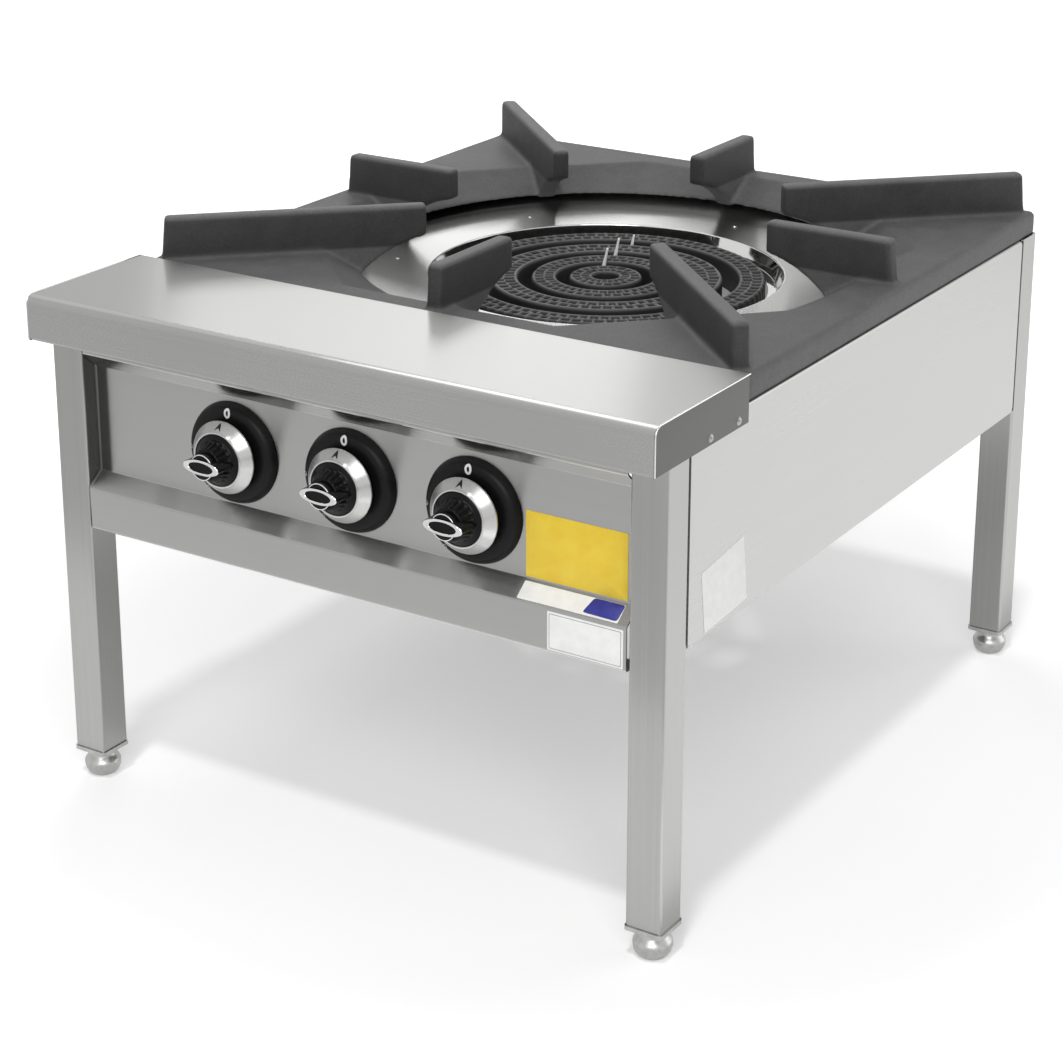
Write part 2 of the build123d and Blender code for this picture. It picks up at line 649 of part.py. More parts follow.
# Support bars from side panel to side panel
for name, offset_y in (("burner_bar_front", -BAR_OFFSET), ("burner_bar_rear", BAR_OFFSET)):
    with BuildPart() as burner_bar:
        with BuildSketch(Plane.XY.offset(BAR_TOP)):
            with Locations((0, GRATE_Y + offset_y)):
                Rectangle(2 * (LEG_OUT - SHEET), BAR_W)
        extrude(amount=-BAR_T)
    burner_bar.part.label = name
    export_step(burner_bar.part, f"parts/{name}.step")

# Probe bracket on the rear bar, under all three probes
PROBES = [(x, GRATE_Y + y) for _, _, _, (x, y) in CIRCUITS]

with BuildPart() as probe_bracket:
    with BuildSketch(Plane.XY.offset(BAR_TOP)):
        for x, y in PROBES:
            near = GRATE_Y + BAR_OFFSET - BAR_W / 2
            far = y + BRACKET_END
            with Locations((x, (near + far) / 2)):
                Rectangle(BRACKET_W, far - near)
    extrude(amount=BRACKET_T)
probe_bracket.part.label = "probe_bracket"
export_step(probe_bracket.part, "parts/probe_bracket.step")

# Flame probes: base on the bracket, stem and tapered tip between the rings, lead to the valve
for number, ((x, y), probe_top) in enumerate(zip(PROBES, PROBE_TOPS), start=1):
    valve_x = KNOB_XS[number - 1]
    lead_z = BRACKET_TOP + PROBE_BASE_H / 2
    turn_y = GRATE_Y - sum(RING_4) / 2
    with BuildPart() as thermocouple:
        with BuildSketch(upright(x, y)):
            with BuildLine():
                Polyline(
                    (0, BRACKET_TOP),
                    (PROBE_BASE_R, BRACKET_TOP),
                    (PROBE_BASE_R, BRACKET_TOP + PROBE_BASE_H),
                    (PROBE_R, BRACKET_TOP + PROBE_BASE_H),
                    (PROBE_R, probe_top - PROBE_TAPER),
                    (PROBE_TIP_R, probe_top),
                    (0, probe_top),
                    close=True,
                )
            make_face()
        revolve(axis=Axis((x, y, 0), (0, 0, 1)))
        with BuildLine() as route:
            lead_x = valve_x + LEAD_OFFSET[0]
            low_z = KNOB_Z + LEAD_OFFSET[1]
            FilletPolyline(
                (x, y, lead_z),
                (x, turn_y, lead_z),
                (lead_x, PLATE_BACK + 2 * LEAD_BEND, low_z),
                (lead_x, VALVE_BACK, low_z),
                radius=LEAD_BEND,
            )
        with BuildSketch(across(route)):
            Circle(LEAD_R)
        sweep(path=route.line)
    thermocouple.part.label = f"thermocouple_{number}"
    export_step(thermocouple.part, f"parts/thermocouple_{number}.step")

# Valves, each with its plug, spindle, knob, skirt and bezel
for number, x in enumerate(KNOB_XS, start=1):
    axis = Axis((x, 0, KNOB_Z), (0, 1, 0))
    center = (x, KNOB_Z)
    neck_front = PANEL_Y - NECK_LENGTH
    with BuildPart() as valve_body:
        with BuildSketch(facing_front(VALVE_BACK)):
            with Locations(center):
                Circle(VALVE_R)
        extrude(amount=VALVE_LENGTH)
        with BuildSketch(facing_front(PANEL_BACK + VALVE_FLANGE_T)):
            with Locations(center):
                Circle(VALVE_FLANGE_R)
        extrude(amount=VALVE_FLANGE_T)
        with BuildSketch(facing_front(PANEL_BACK)):
            with Locations(center):
                Circle(NECK_R)
        extrude(amount=PANEL_BACK - neck_front)
        with BuildSketch(Plane.XY.offset(BOSS_TOP)):
            with Locations((x, INLET_PORT_Y)):
                Circle(INLET_STUB_R)
        extrude(amount=KNOB_Z - BOSS_TOP)
        with BuildSketch(facing_front(PLUG_FRONT + PLUG_LENGTH + PLUG_PLAY)):
            with Locations(center):
                Circle(PLUG_R + FIT)
        extrude(amount=PLUG_LENGTH + 2 * PLUG_PLAY, mode=Mode.SUBTRACT)
        with BuildSketch(facing_front(PLUG_FRONT)):
            with Locations(center):
                Circle(SPINDLE_R + FIT)
        extrude(amount=PLUG_FRONT - neck_front, mode=Mode.SUBTRACT)
        with BuildSketch(facing_front(VALVE_BACK)):
            with Locations(center):
                Circle(GAS_BORE_R)
        extrude(amount=VALVE_LENGTH - PLUG_INSET - PLUG_LENGTH, mode=Mode.SUBTRACT)
        with BuildSketch(Plane.XY.offset(BOSS_TOP)):
            with Locations((x, INLET_PORT_Y)):
                Circle(GAS_BORE_R)
        extrude(amount=KNOB_Z - BOSS_TOP, mode=Mode.SUBTRACT)
    valve_body.part.label = f"valve_body_{number}"
    export_step(valve_body.part, f"parts/valve_body_{number}.step")

    with BuildPart() as valve_plug:
        with BuildSketch(facing_front(PLUG_FRONT + PLUG_LENGTH)):
            with Locations(center):
                Circle(PLUG_R)
        extrude(amount=PLUG_LENGTH)
        with BuildSketch(facing_front(PLUG_FRONT)):
            with Locations(center):
                Circle(SPINDLE_R + FIT)
            with Locations((x, KNOB_Z + SPINDLE_FLAT + FIT + SPINDLE_R)):
                Rectangle(4 * SPINDLE_R, 2 * SPINDLE_R, mode=Mode.SUBTRACT)
        extrude(amount=-(SPINDLE_IN_PLUG + PUSH + PLUG_PLAY), mode=Mode.SUBTRACT)
        with BuildSketch(facing_front(PLUG_FRONT + PLUG_LENGTH)):
            with Locations(center):
                Circle(GAS_BORE_R)
        extrude(amount=PLUG_FRONT + PLUG_LENGTH - INLET_PORT_Y, mode=Mode.SUBTRACT)
        with BuildSketch(Plane.XY.offset(KNOB_Z - PLUG_R)):
            with Locations((x, INLET_PORT_Y)):
                Circle(GAS_BORE_R)
        extrude(amount=PLUG_R, mode=Mode.SUBTRACT)
    valve_plug.part.label = f"valve_plug_{number}"
    export_step(valve_plug.part, f"parts/valve_plug_{number}.step")

    core_rear = PANEL_Y - CORE_REAR
    core_front = core_rear - CORE_H
    knob_front = PANEL_Y - KNOB_REACH
    with BuildPart() as valve_spindle:
        with BuildSketch(facing_front(PLUG_FRONT + SPINDLE_IN_PLUG)):
            with Locations(center):
                Circle(SPINDLE_R)
            with Locations((x, KNOB_Z + SPINDLE_FLAT + SPINDLE_R)):
                Rectangle(4 * SPINDLE_R, 2 * SPINDLE_R, mode=Mode.SUBTRACT)
        extrude(amount=PLUG_FRONT + SPINDLE_IN_PLUG - core_rear + SPINDLE_IN_KNOB)
    valve_spindle.part.label = f"valve_spindle_{number}"
    export_step(valve_spindle.part, f"parts/valve_spindle_{number}.step")

    with BuildPart() as knob:
        with BuildSketch(Plane.YZ.offset(x)):
            with BuildLine():
                shoulder_y = PANEL_Y - SKIRT_REAR - SKIRT_H
                Polyline(
                    (core_rear, KNOB_Z),
                    (core_rear, KNOB_Z + CORE_R),
                    (shoulder_y, KNOB_Z + CORE_R),
                    (core_front, KNOB_Z + CORE_TOP_R),
                    (core_front, KNOB_Z),
                    close=True,
                )
            make_face()
        revolve(axis=axis)
        with BuildSketch(facing_front(shoulder_y)) as grip:
            with Locations(center):
                Ellipse(GRIP_LENGTH / 2, GRIP_WIDTH / 2)
                Circle(GRIP_ROUND_R)
            fillet(grip.vertices(), GRIP_CORNER)
        extrude(amount=shoulder_y - knob_front)
        fillet(knob.faces().sort_by(Axis.Y)[0].edges(), GRIP_EDGE)
        with BuildSketch(facing_front(core_rear)):
            with Locations(center):
                Circle(SPINDLE_R + FIT)
            with Locations((x, KNOB_Z + SPINDLE_FLAT + FIT + SPINDLE_R)):
                Rectangle(4 * SPINDLE_R, 2 * SPINDLE_R, mode=Mode.SUBTRACT)
        extrude(amount=SPINDLE_IN_KNOB, mode=Mode.SUBTRACT)
    knob.part.label = f"knob_{number}"
    export_step(knob.part, f"parts/knob_{number}.step")

    with BuildPart() as knob_skirt:
        with BuildSketch(Plane.YZ.offset(x)):
            with BuildLine():
                skirt_rear = PANEL_Y - SKIRT_REAR
                Polyline(
                    (skirt_rear, KNOB_Z + CORE_R + FIT),
                    (skirt_rear, KNOB_Z + SKIRT_R),
                    (skirt_rear - SKIRT_EDGE, KNOB_Z + SKIRT_R),
                    (skirt_rear - SKIRT_H, KNOB_Z + SKIRT_TOP_R),
                    (skirt_rear - SKIRT_H, KNOB_Z + CORE_R + FIT),
                    close=True,
                )
            make_face()
        revolve(axis=axis)
    knob_skirt.part.label = f"knob_skirt_{number}"
    export_step(knob_skirt.part, f"parts/knob_skirt_{number}.step")

    with BuildPart() as knob_bezel:
        with BuildSketch(Plane.YZ.offset(x)):
            with BuildLine():
                Polyline(
                    (PANEL_Y, KNOB_Z + BEZEL_BORE_R),
                    (PANEL_Y, KNOB_Z + BEZEL_R),
                    (PANEL_Y - BEZEL_EDGE, KNOB_Z + BEZEL_R),
                    (PANEL_Y - BEZEL_H, KNOB_Z + BEZEL_TOP_R),
                    (PANEL_Y - BEZEL_H, KNOB_Z + BEZEL_BORE_R),
                    close=True,
                )
            make_face()
        revolve(axis=axis)
    knob_bezel.part.label = f"knob_bezel_{number}"
    export_step(knob_bezel.part, f"parts/knob_bezel_{number}.step")

# Nuts that clamp the valves to the panel, hidden by the bezels
with BuildPart() as valve_nuts:
    with BuildSketch(facing_front(PANEL_Y)):
        with Locations(*[(x, KNOB_Z) for x in KNOB_XS]):
            RegularPolygon(NUT_AF / 2, 6, major_radius=False)
            Circle(NECK_R + FIT, mode=Mode.SUBTRACT)
    extrude(amount=NUT_T)
valve_nuts.part.label = "valve_nuts"
export_step(valve_nuts.part, "parts/valve_nuts.step")

# Gas manifold under the valves, closed at its left end
MANIFOLD_RIGHT = INLET_X - INLET_BEND - MANIFOLD_END

with BuildPart() as gas_manifold:
    with BuildSketch(Plane.YZ.offset(-MANIFOLD_LEFT)):
        with Locations((INLET_PORT_Y, MANIFOLD_Z)):
            Circle(MANIFOLD_R)
    extrude(amount=MANIFOLD_LEFT + MANIFOLD_RIGHT)
    with BuildSketch(Plane.XY.offset(MANIFOLD_Z)):
        with Locations(*[(x, INLET_PORT_Y) for x in KNOB_XS]):
            Circle(INLET_STUB_R)
    extrude(amount=MANIFOLD_BOSS)
    with BuildSketch(Plane.YZ.offset(MANIFOLD_RIGHT)):
        with Locations((INLET_PORT_Y, MANIFOLD_Z)):
            Circle(MANIFOLD_BORE_R)
    extrude(amount=MANIFOLD_END - MANIFOLD_LEFT - MANIFOLD_RIGHT, mode=Mode.SUBTRACT)
    with BuildSketch(Plane.XY.offset(MANIFOLD_Z)):
        with Locations(*[(x, INLET_PORT_Y) for x in KNOB_XS]):
            Circle(GAS_BORE_R)
    extrude(amount=MANIFOLD_BOSS, mode=Mode.SUBTRACT)
gas_manifold.part.label = "gas_manifold"
export_step(gas_manifold.part, "parts/gas_manifold.step")

# Gas inlet pipe from the manifold to its threaded end behind the back panel
with BuildPart() as gas_inlet_pipe:
    with BuildLine() as route:
        FilletPolyline(
            (MANIFOLD_RIGHT, INLET_PORT_Y, MANIFOLD_Z),
            (INLET_X, INLET_PORT_Y, MANIFOLD_Z),
            (INLET_X, INLET_Y, MANIFOLD_Z),
            radius=INLET_BEND,
        )
    with BuildSketch(across(route)):
        Circle(MANIFOLD_R)
        Circle(MANIFOLD_BORE_R, mode=Mode.SUBTRACT)
    sweep(path=route.line)
    with BuildSketch(facing_front(INLET_Y)):
        with Locations((INLET_X, MANIFOLD_Z)):
            Circle(2 * MANIFOLD_R)
            Circle(INLET_THREAD_R, mode=Mode.SUBTRACT)
    extrude(amount=INLET_THREAD, mode=Mode.SUBTRACT)
gas_inlet_pipe.part.label = "gas_inlet_pipe"
export_step(gas_inlet_pipe.part, "parts/gas_inlet_pipe.step")

# Lock nut that holds the inlet pipe at the back panel
with BuildPart() as inlet_locknut:
    with BuildSketch(facing_front(BACK_Y + LOCKNUT_T)):
        with Locations((INLET_X, MANIFOLD_Z)):
            RegularPolygon(LOCKNUT_AF / 2, 6, major_radius=False)
            Circle(MANIFOLD_R + FIT, mode=Mode.SUBTRACT)
    extrude(amount=LOCKNUT_T)
inlet_locknut.part.label = "inlet_locknut"
export_step(inlet_locknut.part, "parts/inlet_locknut.step")

# Gas tubes from the valves to the injectors
TUBE_XS = [tube_x for _, _, tube_x, _ in CIRCUITS]
HEAD_FRONT = PLATE_FRONT - INJECTOR_HEAD_T

for number, (valve_x, tube_x) in enumerate(zip(KNOB_XS, TUBE_XS), start=1):
    with BuildPart() as gas_tube:
        with BuildLine() as route:
            FilletPolyline(
                (valve_x, VALVE_BACK, KNOB_Z),
                (valve_x, VALVE_BACK + GAS_TUBE_LEAD, KNOB_Z),
                (tube_x, HEAD_FRONT - GAS_TUBE_TAIL, MIX_Z),
                (tube_x, HEAD_FRONT, MIX_Z),
                radius=GAS_TUBE_BEND,
            )
        with BuildSketch(across(route)):
            Circle(GAS_TUBE_R)
            Circle(GAS_TUBE_BORE_R, mode=Mode.SUBTRACT)
        sweep(path=route.line)
    gas_tube.part.label = f"gas_tube_{number}"
    export_step(gas_tube.part, f"parts/gas_tube_{number}.step")

# Injector plate, hung under the shelf's rear flange
PLATE_LEFT = min(TUBE_XS) - BAR_PLATE_MARGIN
PLATE_RIGHT = max(TUBE_XS) + BAR_PLATE_MARGIN

with BuildPart() as injector_plate:
    with BuildSketch(facing_front(PLATE_BACK)):
        plate_h = DECK_Z - SHEET - BAR_PLATE_BOTTOM
        with Locations(((PLATE_LEFT + PLATE_RIGHT) / 2, BAR_PLATE_BOTTOM + plate_h / 2)):
            Rectangle(PLATE_RIGHT - PLATE_LEFT, plate_h)
        with Locations(*[(x, MIX_Z) for x in TUBE_XS]):
            Circle(INJECTOR_R + FIT, mode=Mode.SUBTRACT)
    extrude(amount=BAR_PLATE_T)
injector_plate.part.label = "injector_plate"
export_step(injector_plate.part, "parts/injector_plate.step")

# Injectors through the plate, aimed into the mixing tubes
with BuildPart() as injectors:
    for x in TUBE_XS:
        with BuildSketch(Plane.YZ.offset(x)):
            with BuildLine():
                body_end = PLATE_FRONT + INJECTOR_LENGTH - INJECTOR_R
                Polyline(
                    (HEAD_FRONT, MIX_Z + INJECTOR_JET_R),
                    (HEAD_FRONT, MIX_Z + INJECTOR_HEAD_R),
                    (PLATE_FRONT, MIX_Z + INJECTOR_HEAD_R),
                    (PLATE_FRONT, MIX_Z + INJECTOR_R),
                    (body_end, MIX_Z + INJECTOR_R),
                    (PLATE_FRONT + INJECTOR_LENGTH, MIX_Z + INJECTOR_TIP_R),
                    (PLATE_FRONT + INJECTOR_LENGTH, MIX_Z + INJECTOR_JET_R),
                    close=True,
                )
            make_face()
        revolve(axis=Axis((x, 0, MIX_Z), (0, 1, 0)))
injectors.part.label = "injectors"
export_step(injectors.part, "parts/injectors.step")

# Air shutters on the injectors, against the back of the plate
with BuildPart() as air_shutters:
    with BuildSketch(facing_front(PLATE_BACK + SHUTTER_T)):
        with Locations(*[(x, MIX_Z) for x in TUBE_XS]):
            Circle(SHUTTER_R)
            Circle(INJECTOR_R + FIT, mode=Mode.SUBTRACT)
    extrude(amount=SHUTTER_T)
air_shutters.part.label = "air_shutters"
export_step(air_shutters.part, "parts/air_shutters.step")
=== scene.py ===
# %% [markdown]
# # Dressing a floor gas stove
# The CAD model already has the right sizes, joints and separate parts. This lesson gives it the looks of
# the real thing: soft cast edges on the pan support, ports in the burner rings, plated knobs, brushed and
# polished steel, and the plain light of a product picture.

import bmesh
import bpy
import numpy as np
from mathutils import Matrix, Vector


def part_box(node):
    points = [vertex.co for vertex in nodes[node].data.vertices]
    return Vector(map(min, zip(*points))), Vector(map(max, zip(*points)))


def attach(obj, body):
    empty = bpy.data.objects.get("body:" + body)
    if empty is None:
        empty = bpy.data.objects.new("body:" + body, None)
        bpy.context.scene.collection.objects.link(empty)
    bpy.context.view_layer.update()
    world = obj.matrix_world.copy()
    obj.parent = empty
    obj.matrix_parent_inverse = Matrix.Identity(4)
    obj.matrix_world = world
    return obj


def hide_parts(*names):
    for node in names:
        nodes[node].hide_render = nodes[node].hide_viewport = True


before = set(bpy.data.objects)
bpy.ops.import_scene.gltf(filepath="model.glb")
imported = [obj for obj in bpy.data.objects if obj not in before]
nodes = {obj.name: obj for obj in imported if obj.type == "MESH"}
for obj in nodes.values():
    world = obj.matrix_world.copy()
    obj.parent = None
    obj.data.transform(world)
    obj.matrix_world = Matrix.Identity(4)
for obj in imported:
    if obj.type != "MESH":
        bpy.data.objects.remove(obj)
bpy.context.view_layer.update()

# %% [markdown]
# ## Tools for shapes
# Every new piece is a grid of points in millimetres. A grid can close on itself along its rows or its
# columns, so a tube, a ring or a closed shell is one array worked out by a formula. That is easier to
# check than a mesh edited by hand, and a changed size needs one changed number.


# %% From grids to pieces
def put(name, data):
    """Link a new object into the scene, at the origin and unturned."""
    made = bpy.data.objects.new(name, data)
    bpy.context.scene.collection.objects.link(made)
    return made


def make_piece(name, parts, body, replaces=(), sharp=40.0):
    """Join grids of points into one welded mesh that rides on a body.

    A part is (grid, rows close, columns close, material). Four neighbouring points make a face, points
    that coincide become one, and an edge looks sharp where its faces meet at more than the sharp angle.
    """
    points, faces, finishes, palette = [], [], [], []
    start = 0
    for grid, close_rows, close_columns, material in parts:
        rows, columns = grid.shape[:2]
        row = np.arange(rows if close_rows else rows - 1)
        column = np.arange(columns if close_columns else columns - 1)
        a, b = np.meshgrid(row, column, indexing="ij")
        c = (a + 1) % rows
        d = (b + 1) % columns
        corners = np.stack([a * columns + b, c * columns + b, c * columns + d, a * columns + d], axis=-1)
        points.append(grid.reshape(-1, 3) / 1000.0)
        faces.append(corners.reshape(-1, 4) + start)
        if material not in palette:
            palette.append(material)
        finishes.append(np.full(a.size, palette.index(material)))
        start += rows * columns
    mesh = bpy.data.meshes.new(name)
    mesh.from_pydata(np.vstack(points).tolist(), [], np.vstack(faces).tolist())
    mesh.polygons.foreach_set("material_index", np.concatenate(finishes).astype(np.int32))
    return finish_piece(name, mesh, palette, body, replaces, sharp)


def finish_piece(name, mesh, palette, body, replaces=(), sharp=40.0):
    """Weld a mesh, turn its faces outward, shade it smooth and let it ride on its body."""
    work = bmesh.new()
    work.from_mesh(mesh)
    bmesh.ops.remove_doubles(work, verts=work.verts, dist=2e-6)
    bmesh.ops.dissolve_degenerate(work, edges=work.edges, dist=1e-7)
    bmesh.ops.recalc_face_normals(work, faces=work.faces)
    work.to_mesh(mesh)
    work.free()
    mesh.shade_smooth()
    mesh.set_sharp_from_angle(angle=np.radians(sharp))
    for material in palette:
        mesh.materials.append(material)
    piece = put(name, mesh)
    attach(piece, body)
    if replaces:
        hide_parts(*replaces)
    print(name, "faces:", len(mesh.polygons))
    return piece


# %% Copies of CAD parts
def welded(node):
    """Triangles of a CAD part as an editable mesh, with the points that coincide merged."""
    work = bmesh.new()
    work.from_mesh(nodes[node].data)
    bmesh.ops.remove_doubles(work, verts=work.verts, dist=1e-6)
    return work


def plain_mesh(work, name):
    """Mesh without materials, made from an editable one that is then freed."""
    mesh = bpy.data.meshes.new(name)
    work.to_mesh(mesh)
    work.free()
    return mesh


# %% Profiles and turned shapes
def round_corner(before, point, after, size, steps=5):
    """Parabola in place of a corner: it starts size before the corner and ends size after it."""
    t = np.linspace(0.0, 1.0, steps + 1)[:, None]
    back = before - point
    ahead = after - point
    first = point + size * back / np.linalg.norm(back)
    last = point + size * ahead / np.linalg.norm(ahead)
    return (1 - t) ** 2 * first + 2 * t * (1 - t) * point + t ** 2 * last


def soften(corners, steps=5):
    """Polyline through corners (a, b, size), each rounded by its own size except the two ends."""
    corners = np.asarray(corners, float)
    path = [corners[:1, :2]]
    for before, here, after in zip(corners[:-2], corners[1:-1], corners[2:]):
        path.append(round_corner(before[:2], here[:2], after[:2], here[2], steps))
    path.append(corners[-1:, :2])
    return np.vstack(path)


def turned(profile, centre, forward=False, steps=96):
    """Turn a profile of (radius, height) about an upright axis, or about one that points forward."""
    radius, height = np.asarray(profile, float).T
    angle = np.linspace(0.0, 2 * np.pi, steps, endpoint=False)[:, None]
    across = radius * np.cos(angle)
    along = radius * np.sin(angle)
    level = np.broadcast_to(height, across.shape)
    if forward:
        return np.stack([centre[0] + across, centre[1] - level, centre[2] + along], axis=-1)
    return np.stack([centre[0] + across, centre[1] + along, centre[2] + level], axis=-1)


def step_box(x, half, soft):
    """One inside a band of the given half width, zero outside, with a smooth step as wide as soft."""
    t = np.clip((half + soft / 2 - np.abs(x)) / soft, 0.0, 1.0)
    return t * t * (3 - 2 * t)


def pad(outline, lift, top_in=0.15):
    """Thin closed plate over an outline: foot, upright edge, slightly smaller top and a middle point.

    The outline is an array of points, lift the vector from its foot to its top.
    """
    middle = outline.mean(axis=0)
    reach = np.linalg.norm(outline - middle, axis=1).max()
    inner = middle + (outline - middle) * (1.0 - top_in / reach)
    centre = np.broadcast_to(middle, outline.shape)
    return np.stack([centre, outline, outline + 0.7 * lift, inner + lift, centre + lift], axis=1)


print("shape tools ready")

# %% [markdown]
# ## Tools for materials
# Colours are written as the eye reads them and turned into the linear values that light works with.
# One helper adds a shader node with its settings and its links. Inputs 0 to 4 of a Map Range node are the
# value, the range it comes from and the range it goes to. Inputs 0, 6 and 7 of a colour Mix node are the
# share and the two colours. One noise mostly lies between 0.3 and 0.7, the sum of two between 0.7 and 1.3.


# %% Colour and node helpers
def linear(code):
    """Linear colour of a hex code: each channel is divided down below 0.04, and raised to 2.4 above."""
    values = np.array([int(code[i:i + 2], 16) for i in (0, 2, 4)]) / 255.0
    low = values / 12.92
    high = ((values + 0.055) / 1.055) ** 2.4
    return (*np.where(values <= 0.04045, low, high), 1.0)


def add(tree, kind, inputs=None, **settings):
    """Add a node, set its properties, and give each input a value or a link."""
    made = tree.nodes.new(kind)
    for key, value in settings.items():
        setattr(made, key, value)
    for key, value in (inputs or {}).items():
        if isinstance(value, bpy.types.NodeSocket):
            tree.links.new(value, made.inputs[key])
        else:
            made.inputs[key].default_value = value
    return made


def start_material(name, **inputs):
    """New material with a principled shader; the keywords set its sockets, with _ for a space."""
    material = bpy.data.materials.new(name)
    material.use_nodes = True
    tree = material.node_tree
    shader = tree.nodes["Principled BSDF"]
    for key, value in inputs.items():
        shader.inputs[key.replace("_", " ")].default_value = value
    return material, tree, shader


ONE_NOISE = {1: 0.3, 2: 0.7}
TWO_NOISES = {1: 0.7, 2: 1.3}

# %% [markdown]
# Brushed steel is a bright metal with long fine scratches. They could be modelled or painted, but noise
# stretched along the brushing direction gives them at any distance. Scratches smear what the sheet mirrors
# at right angles to themselves, so an upright edge stays crisp in a sheet brushed from side to side. Real
# ones are about a tenth of a millimetre wide. They are drawn ten times wider here, so that they show.

# %% Brushed and polished steel
TONES_PER_M = 4.5
QUARTER_TURN = 0.25
INWARD = {1: -0.2, 2: -0.26}
ABOVE_RAIL = {1: 0.275, 2: 0.285}


def brushed_steel(name, dark, light, along, rough, smear=1.0, line_mm=1.1, length_mm=300.0, patches=(),
                  recess_shade=None):
    """Metal between two greys, with scratches line_mm wide and length_mm long along one axis.

    Each patch gives another colour and roughness to faces whose normal lies along a direction: the share
    grows between two values of the size of their dot product. The recess shade is a darker colour, painted
    shade, for faces that look inwards above the lower rail, where the dot product of normal and place is
    negative.
    """
    material, tree, shader = start_material(name, Metallic=1.0, Anisotropic=smear,
                                            Anisotropic_Rotation=QUARTER_TURN)
    place = add(tree, "ShaderNodeTexCoord")
    spot = place.outputs["Object"]
    normal = place.outputs["Normal"]
    stretch = [1000.0 / line_mm] * 3
    stretch["xyz".index(along)] = 1000.0 / length_mm
    fine = add(tree, "ShaderNodeMapping", {0: spot, 3: stretch})
    lines = add(tree, "ShaderNodeTexNoise", {"Vector": fine.outputs[0], "Scale": 1.0, "Detail": 4.0})
    broad = add(tree, "ShaderNodeTexNoise", {"Vector": spot, "Scale": TONES_PER_M, "Detail": 1.0})
    both = add(tree, "ShaderNodeMath", {0: lines.outputs[0], 1: broad.outputs[0]}, operation="ADD")
    colour = add(tree, "ShaderNodeMapRange", {0: both.outputs[0], **TWO_NOISES})
    mix = add(tree, "ShaderNodeMix", {0: colour.outputs[0], 6: linear(dark), 7: linear(light)},
              data_type="RGBA")
    gloss = add(tree, "ShaderNodeMapRange", {0: both.outputs[0], **TWO_NOISES, 3: rough * 0.94,
                                             4: rough * 1.06})
    for direction, low, high, code, patch_rough in patches:
        along_it = add(tree, "ShaderNodeVectorMath", {0: normal, 1: direction}, operation="DOT_PRODUCT")
        size = add(tree, "ShaderNodeMath", {0: along_it.outputs["Value"]}, operation="ABSOLUTE")
        share = add(tree, "ShaderNodeMapRange", {0: size.outputs[0], 1: low, 2: high})
        mix = add(tree, "ShaderNodeMix", {0: share.outputs[0], 6: mix.outputs[2], 7: linear(code)},
                  data_type="RGBA")
        gloss = add(tree, "ShaderNodeMapRange", {0: share.outputs[0], 3: gloss.outputs[0], 4: patch_rough})
    # Painted shade: inward faces above the lower rail take the darker recess colour.
    if recess_shade:
        facing = add(tree, "ShaderNodeVectorMath", {0: normal, 1: spot}, operation="DOT_PRODUCT")
        inward = add(tree, "ShaderNodeMapRange", {0: facing.outputs["Value"], **INWARD})
        axes = add(tree, "ShaderNodeSeparateXYZ", {0: spot})
        height = add(tree, "ShaderNodeMapRange", {0: axes.outputs["Z"], **ABOVE_RAIL})
        share = add(tree, "ShaderNodeMath", {0: inward.outputs[0], 1: height.outputs[0]},
                    operation="MULTIPLY")
        mix = add(tree, "ShaderNodeMix", {0: share.outputs[0], 6: mix.outputs[2], 7: linear(recess_shade)},
                  data_type="RGBA")
    relief = add(tree, "ShaderNodeBump", {"Strength": 0.0015, "Distance": 0.0004,
                                          "Height": lines.outputs[0]})
    # A little off the axis, so that the direction doesn't vanish on a face square to it.
    lay = [0.06, 0.05, 0.04]
    lay["xyz".index(along)] = 1.0
    scratch = add(tree, "ShaderNodeCombineXYZ", dict(enumerate(lay)))
    tree.links.new(scratch.outputs[0], shader.inputs["Tangent"])
    tree.links.new(mix.outputs[2], shader.inputs["Base Color"])
    tree.links.new(gloss.outputs[0], shader.inputs["Roughness"])
    tree.links.new(relief.outputs[0], shader.inputs["Normal"])
    return material


# Leg tubes are brushed along their length, which draws reflections out into upright bands. Their faces
# that look inwards above the lower rail are painted darker: painted shade.
steel_upright = brushed_steel("brushed stainless, upright", "9B9B9A", "A3A3A1", "z", 0.25, 0.9,
                              recess_shade="585857")
# The panel is brushed from side to side. Its brow under the shelf is a smoother mirror whose colour is
# painted brighter: painted light.
BROW_LIGHT = ((0.0, -0.673, -0.74), 0.9, 0.97, "EAEAE8", 0.1)
steel_across = brushed_steel("brushed stainless, across", "A2A2A1", "A7A7A5", "x", 0.25, patches=[BROW_LIGHT])
# The side panels are brushed from front to back and look like one even, pale grey.
steel_deep = brushed_steel("brushed stainless, front to back", "A6A6A5", "AAAAA8", "y", 0.27, 0.9)
# The shelf is satin on top, where its colour is painted a little lighter: painted light. Along its front
# bend it is smoother and painted brighter, a painted highlight, and its end flanges are painted darker:
# painted shade.
SHELF_ENDS_SHADE = ((1.0, 0.0, 0.0), 0.5, 0.8, "636362", 0.31)
SHELF_FOLD_HIGHLIGHT = ((0.0, -0.4, 0.917), 0.95, 0.99, "B4B4B3", 0.13)
SHELF_TOP_LIGHT = ((0.0, 0.0, 1.0), 0.985, 0.997, "ABABAA", 0.29)
steel_shelf = brushed_steel("satin stainless shelf", "A2A2A1", "A7A7A6", "x", 0.27,
                            patches=[SHELF_FOLD_HIGHLIGHT, SHELF_TOP_LIGHT, SHELF_ENDS_SHADE])
# The tray is smoother than the sheets. Its slope on the left is greyer, as if it mirrored a darker room.
TRAY_LEFT = ((0.5, 0.2, 0.84), 0.83, 0.94, "7A7A79", 0.24)
steel_tray = brushed_steel("brushed stainless tray", "A4A4A3", "ACACAA", "x", 0.24, 0.9, 1.5, 120.0,
                           patches=[TRAY_LEFT])
# Polished steel is a clear mirror, on the tray's collar and the edges of the shelf.
steel_collar = brushed_steel("polished stainless collar", "CFCFCD", "D6D6D4", "x", 0.07, 0.0)
print("steels ready")
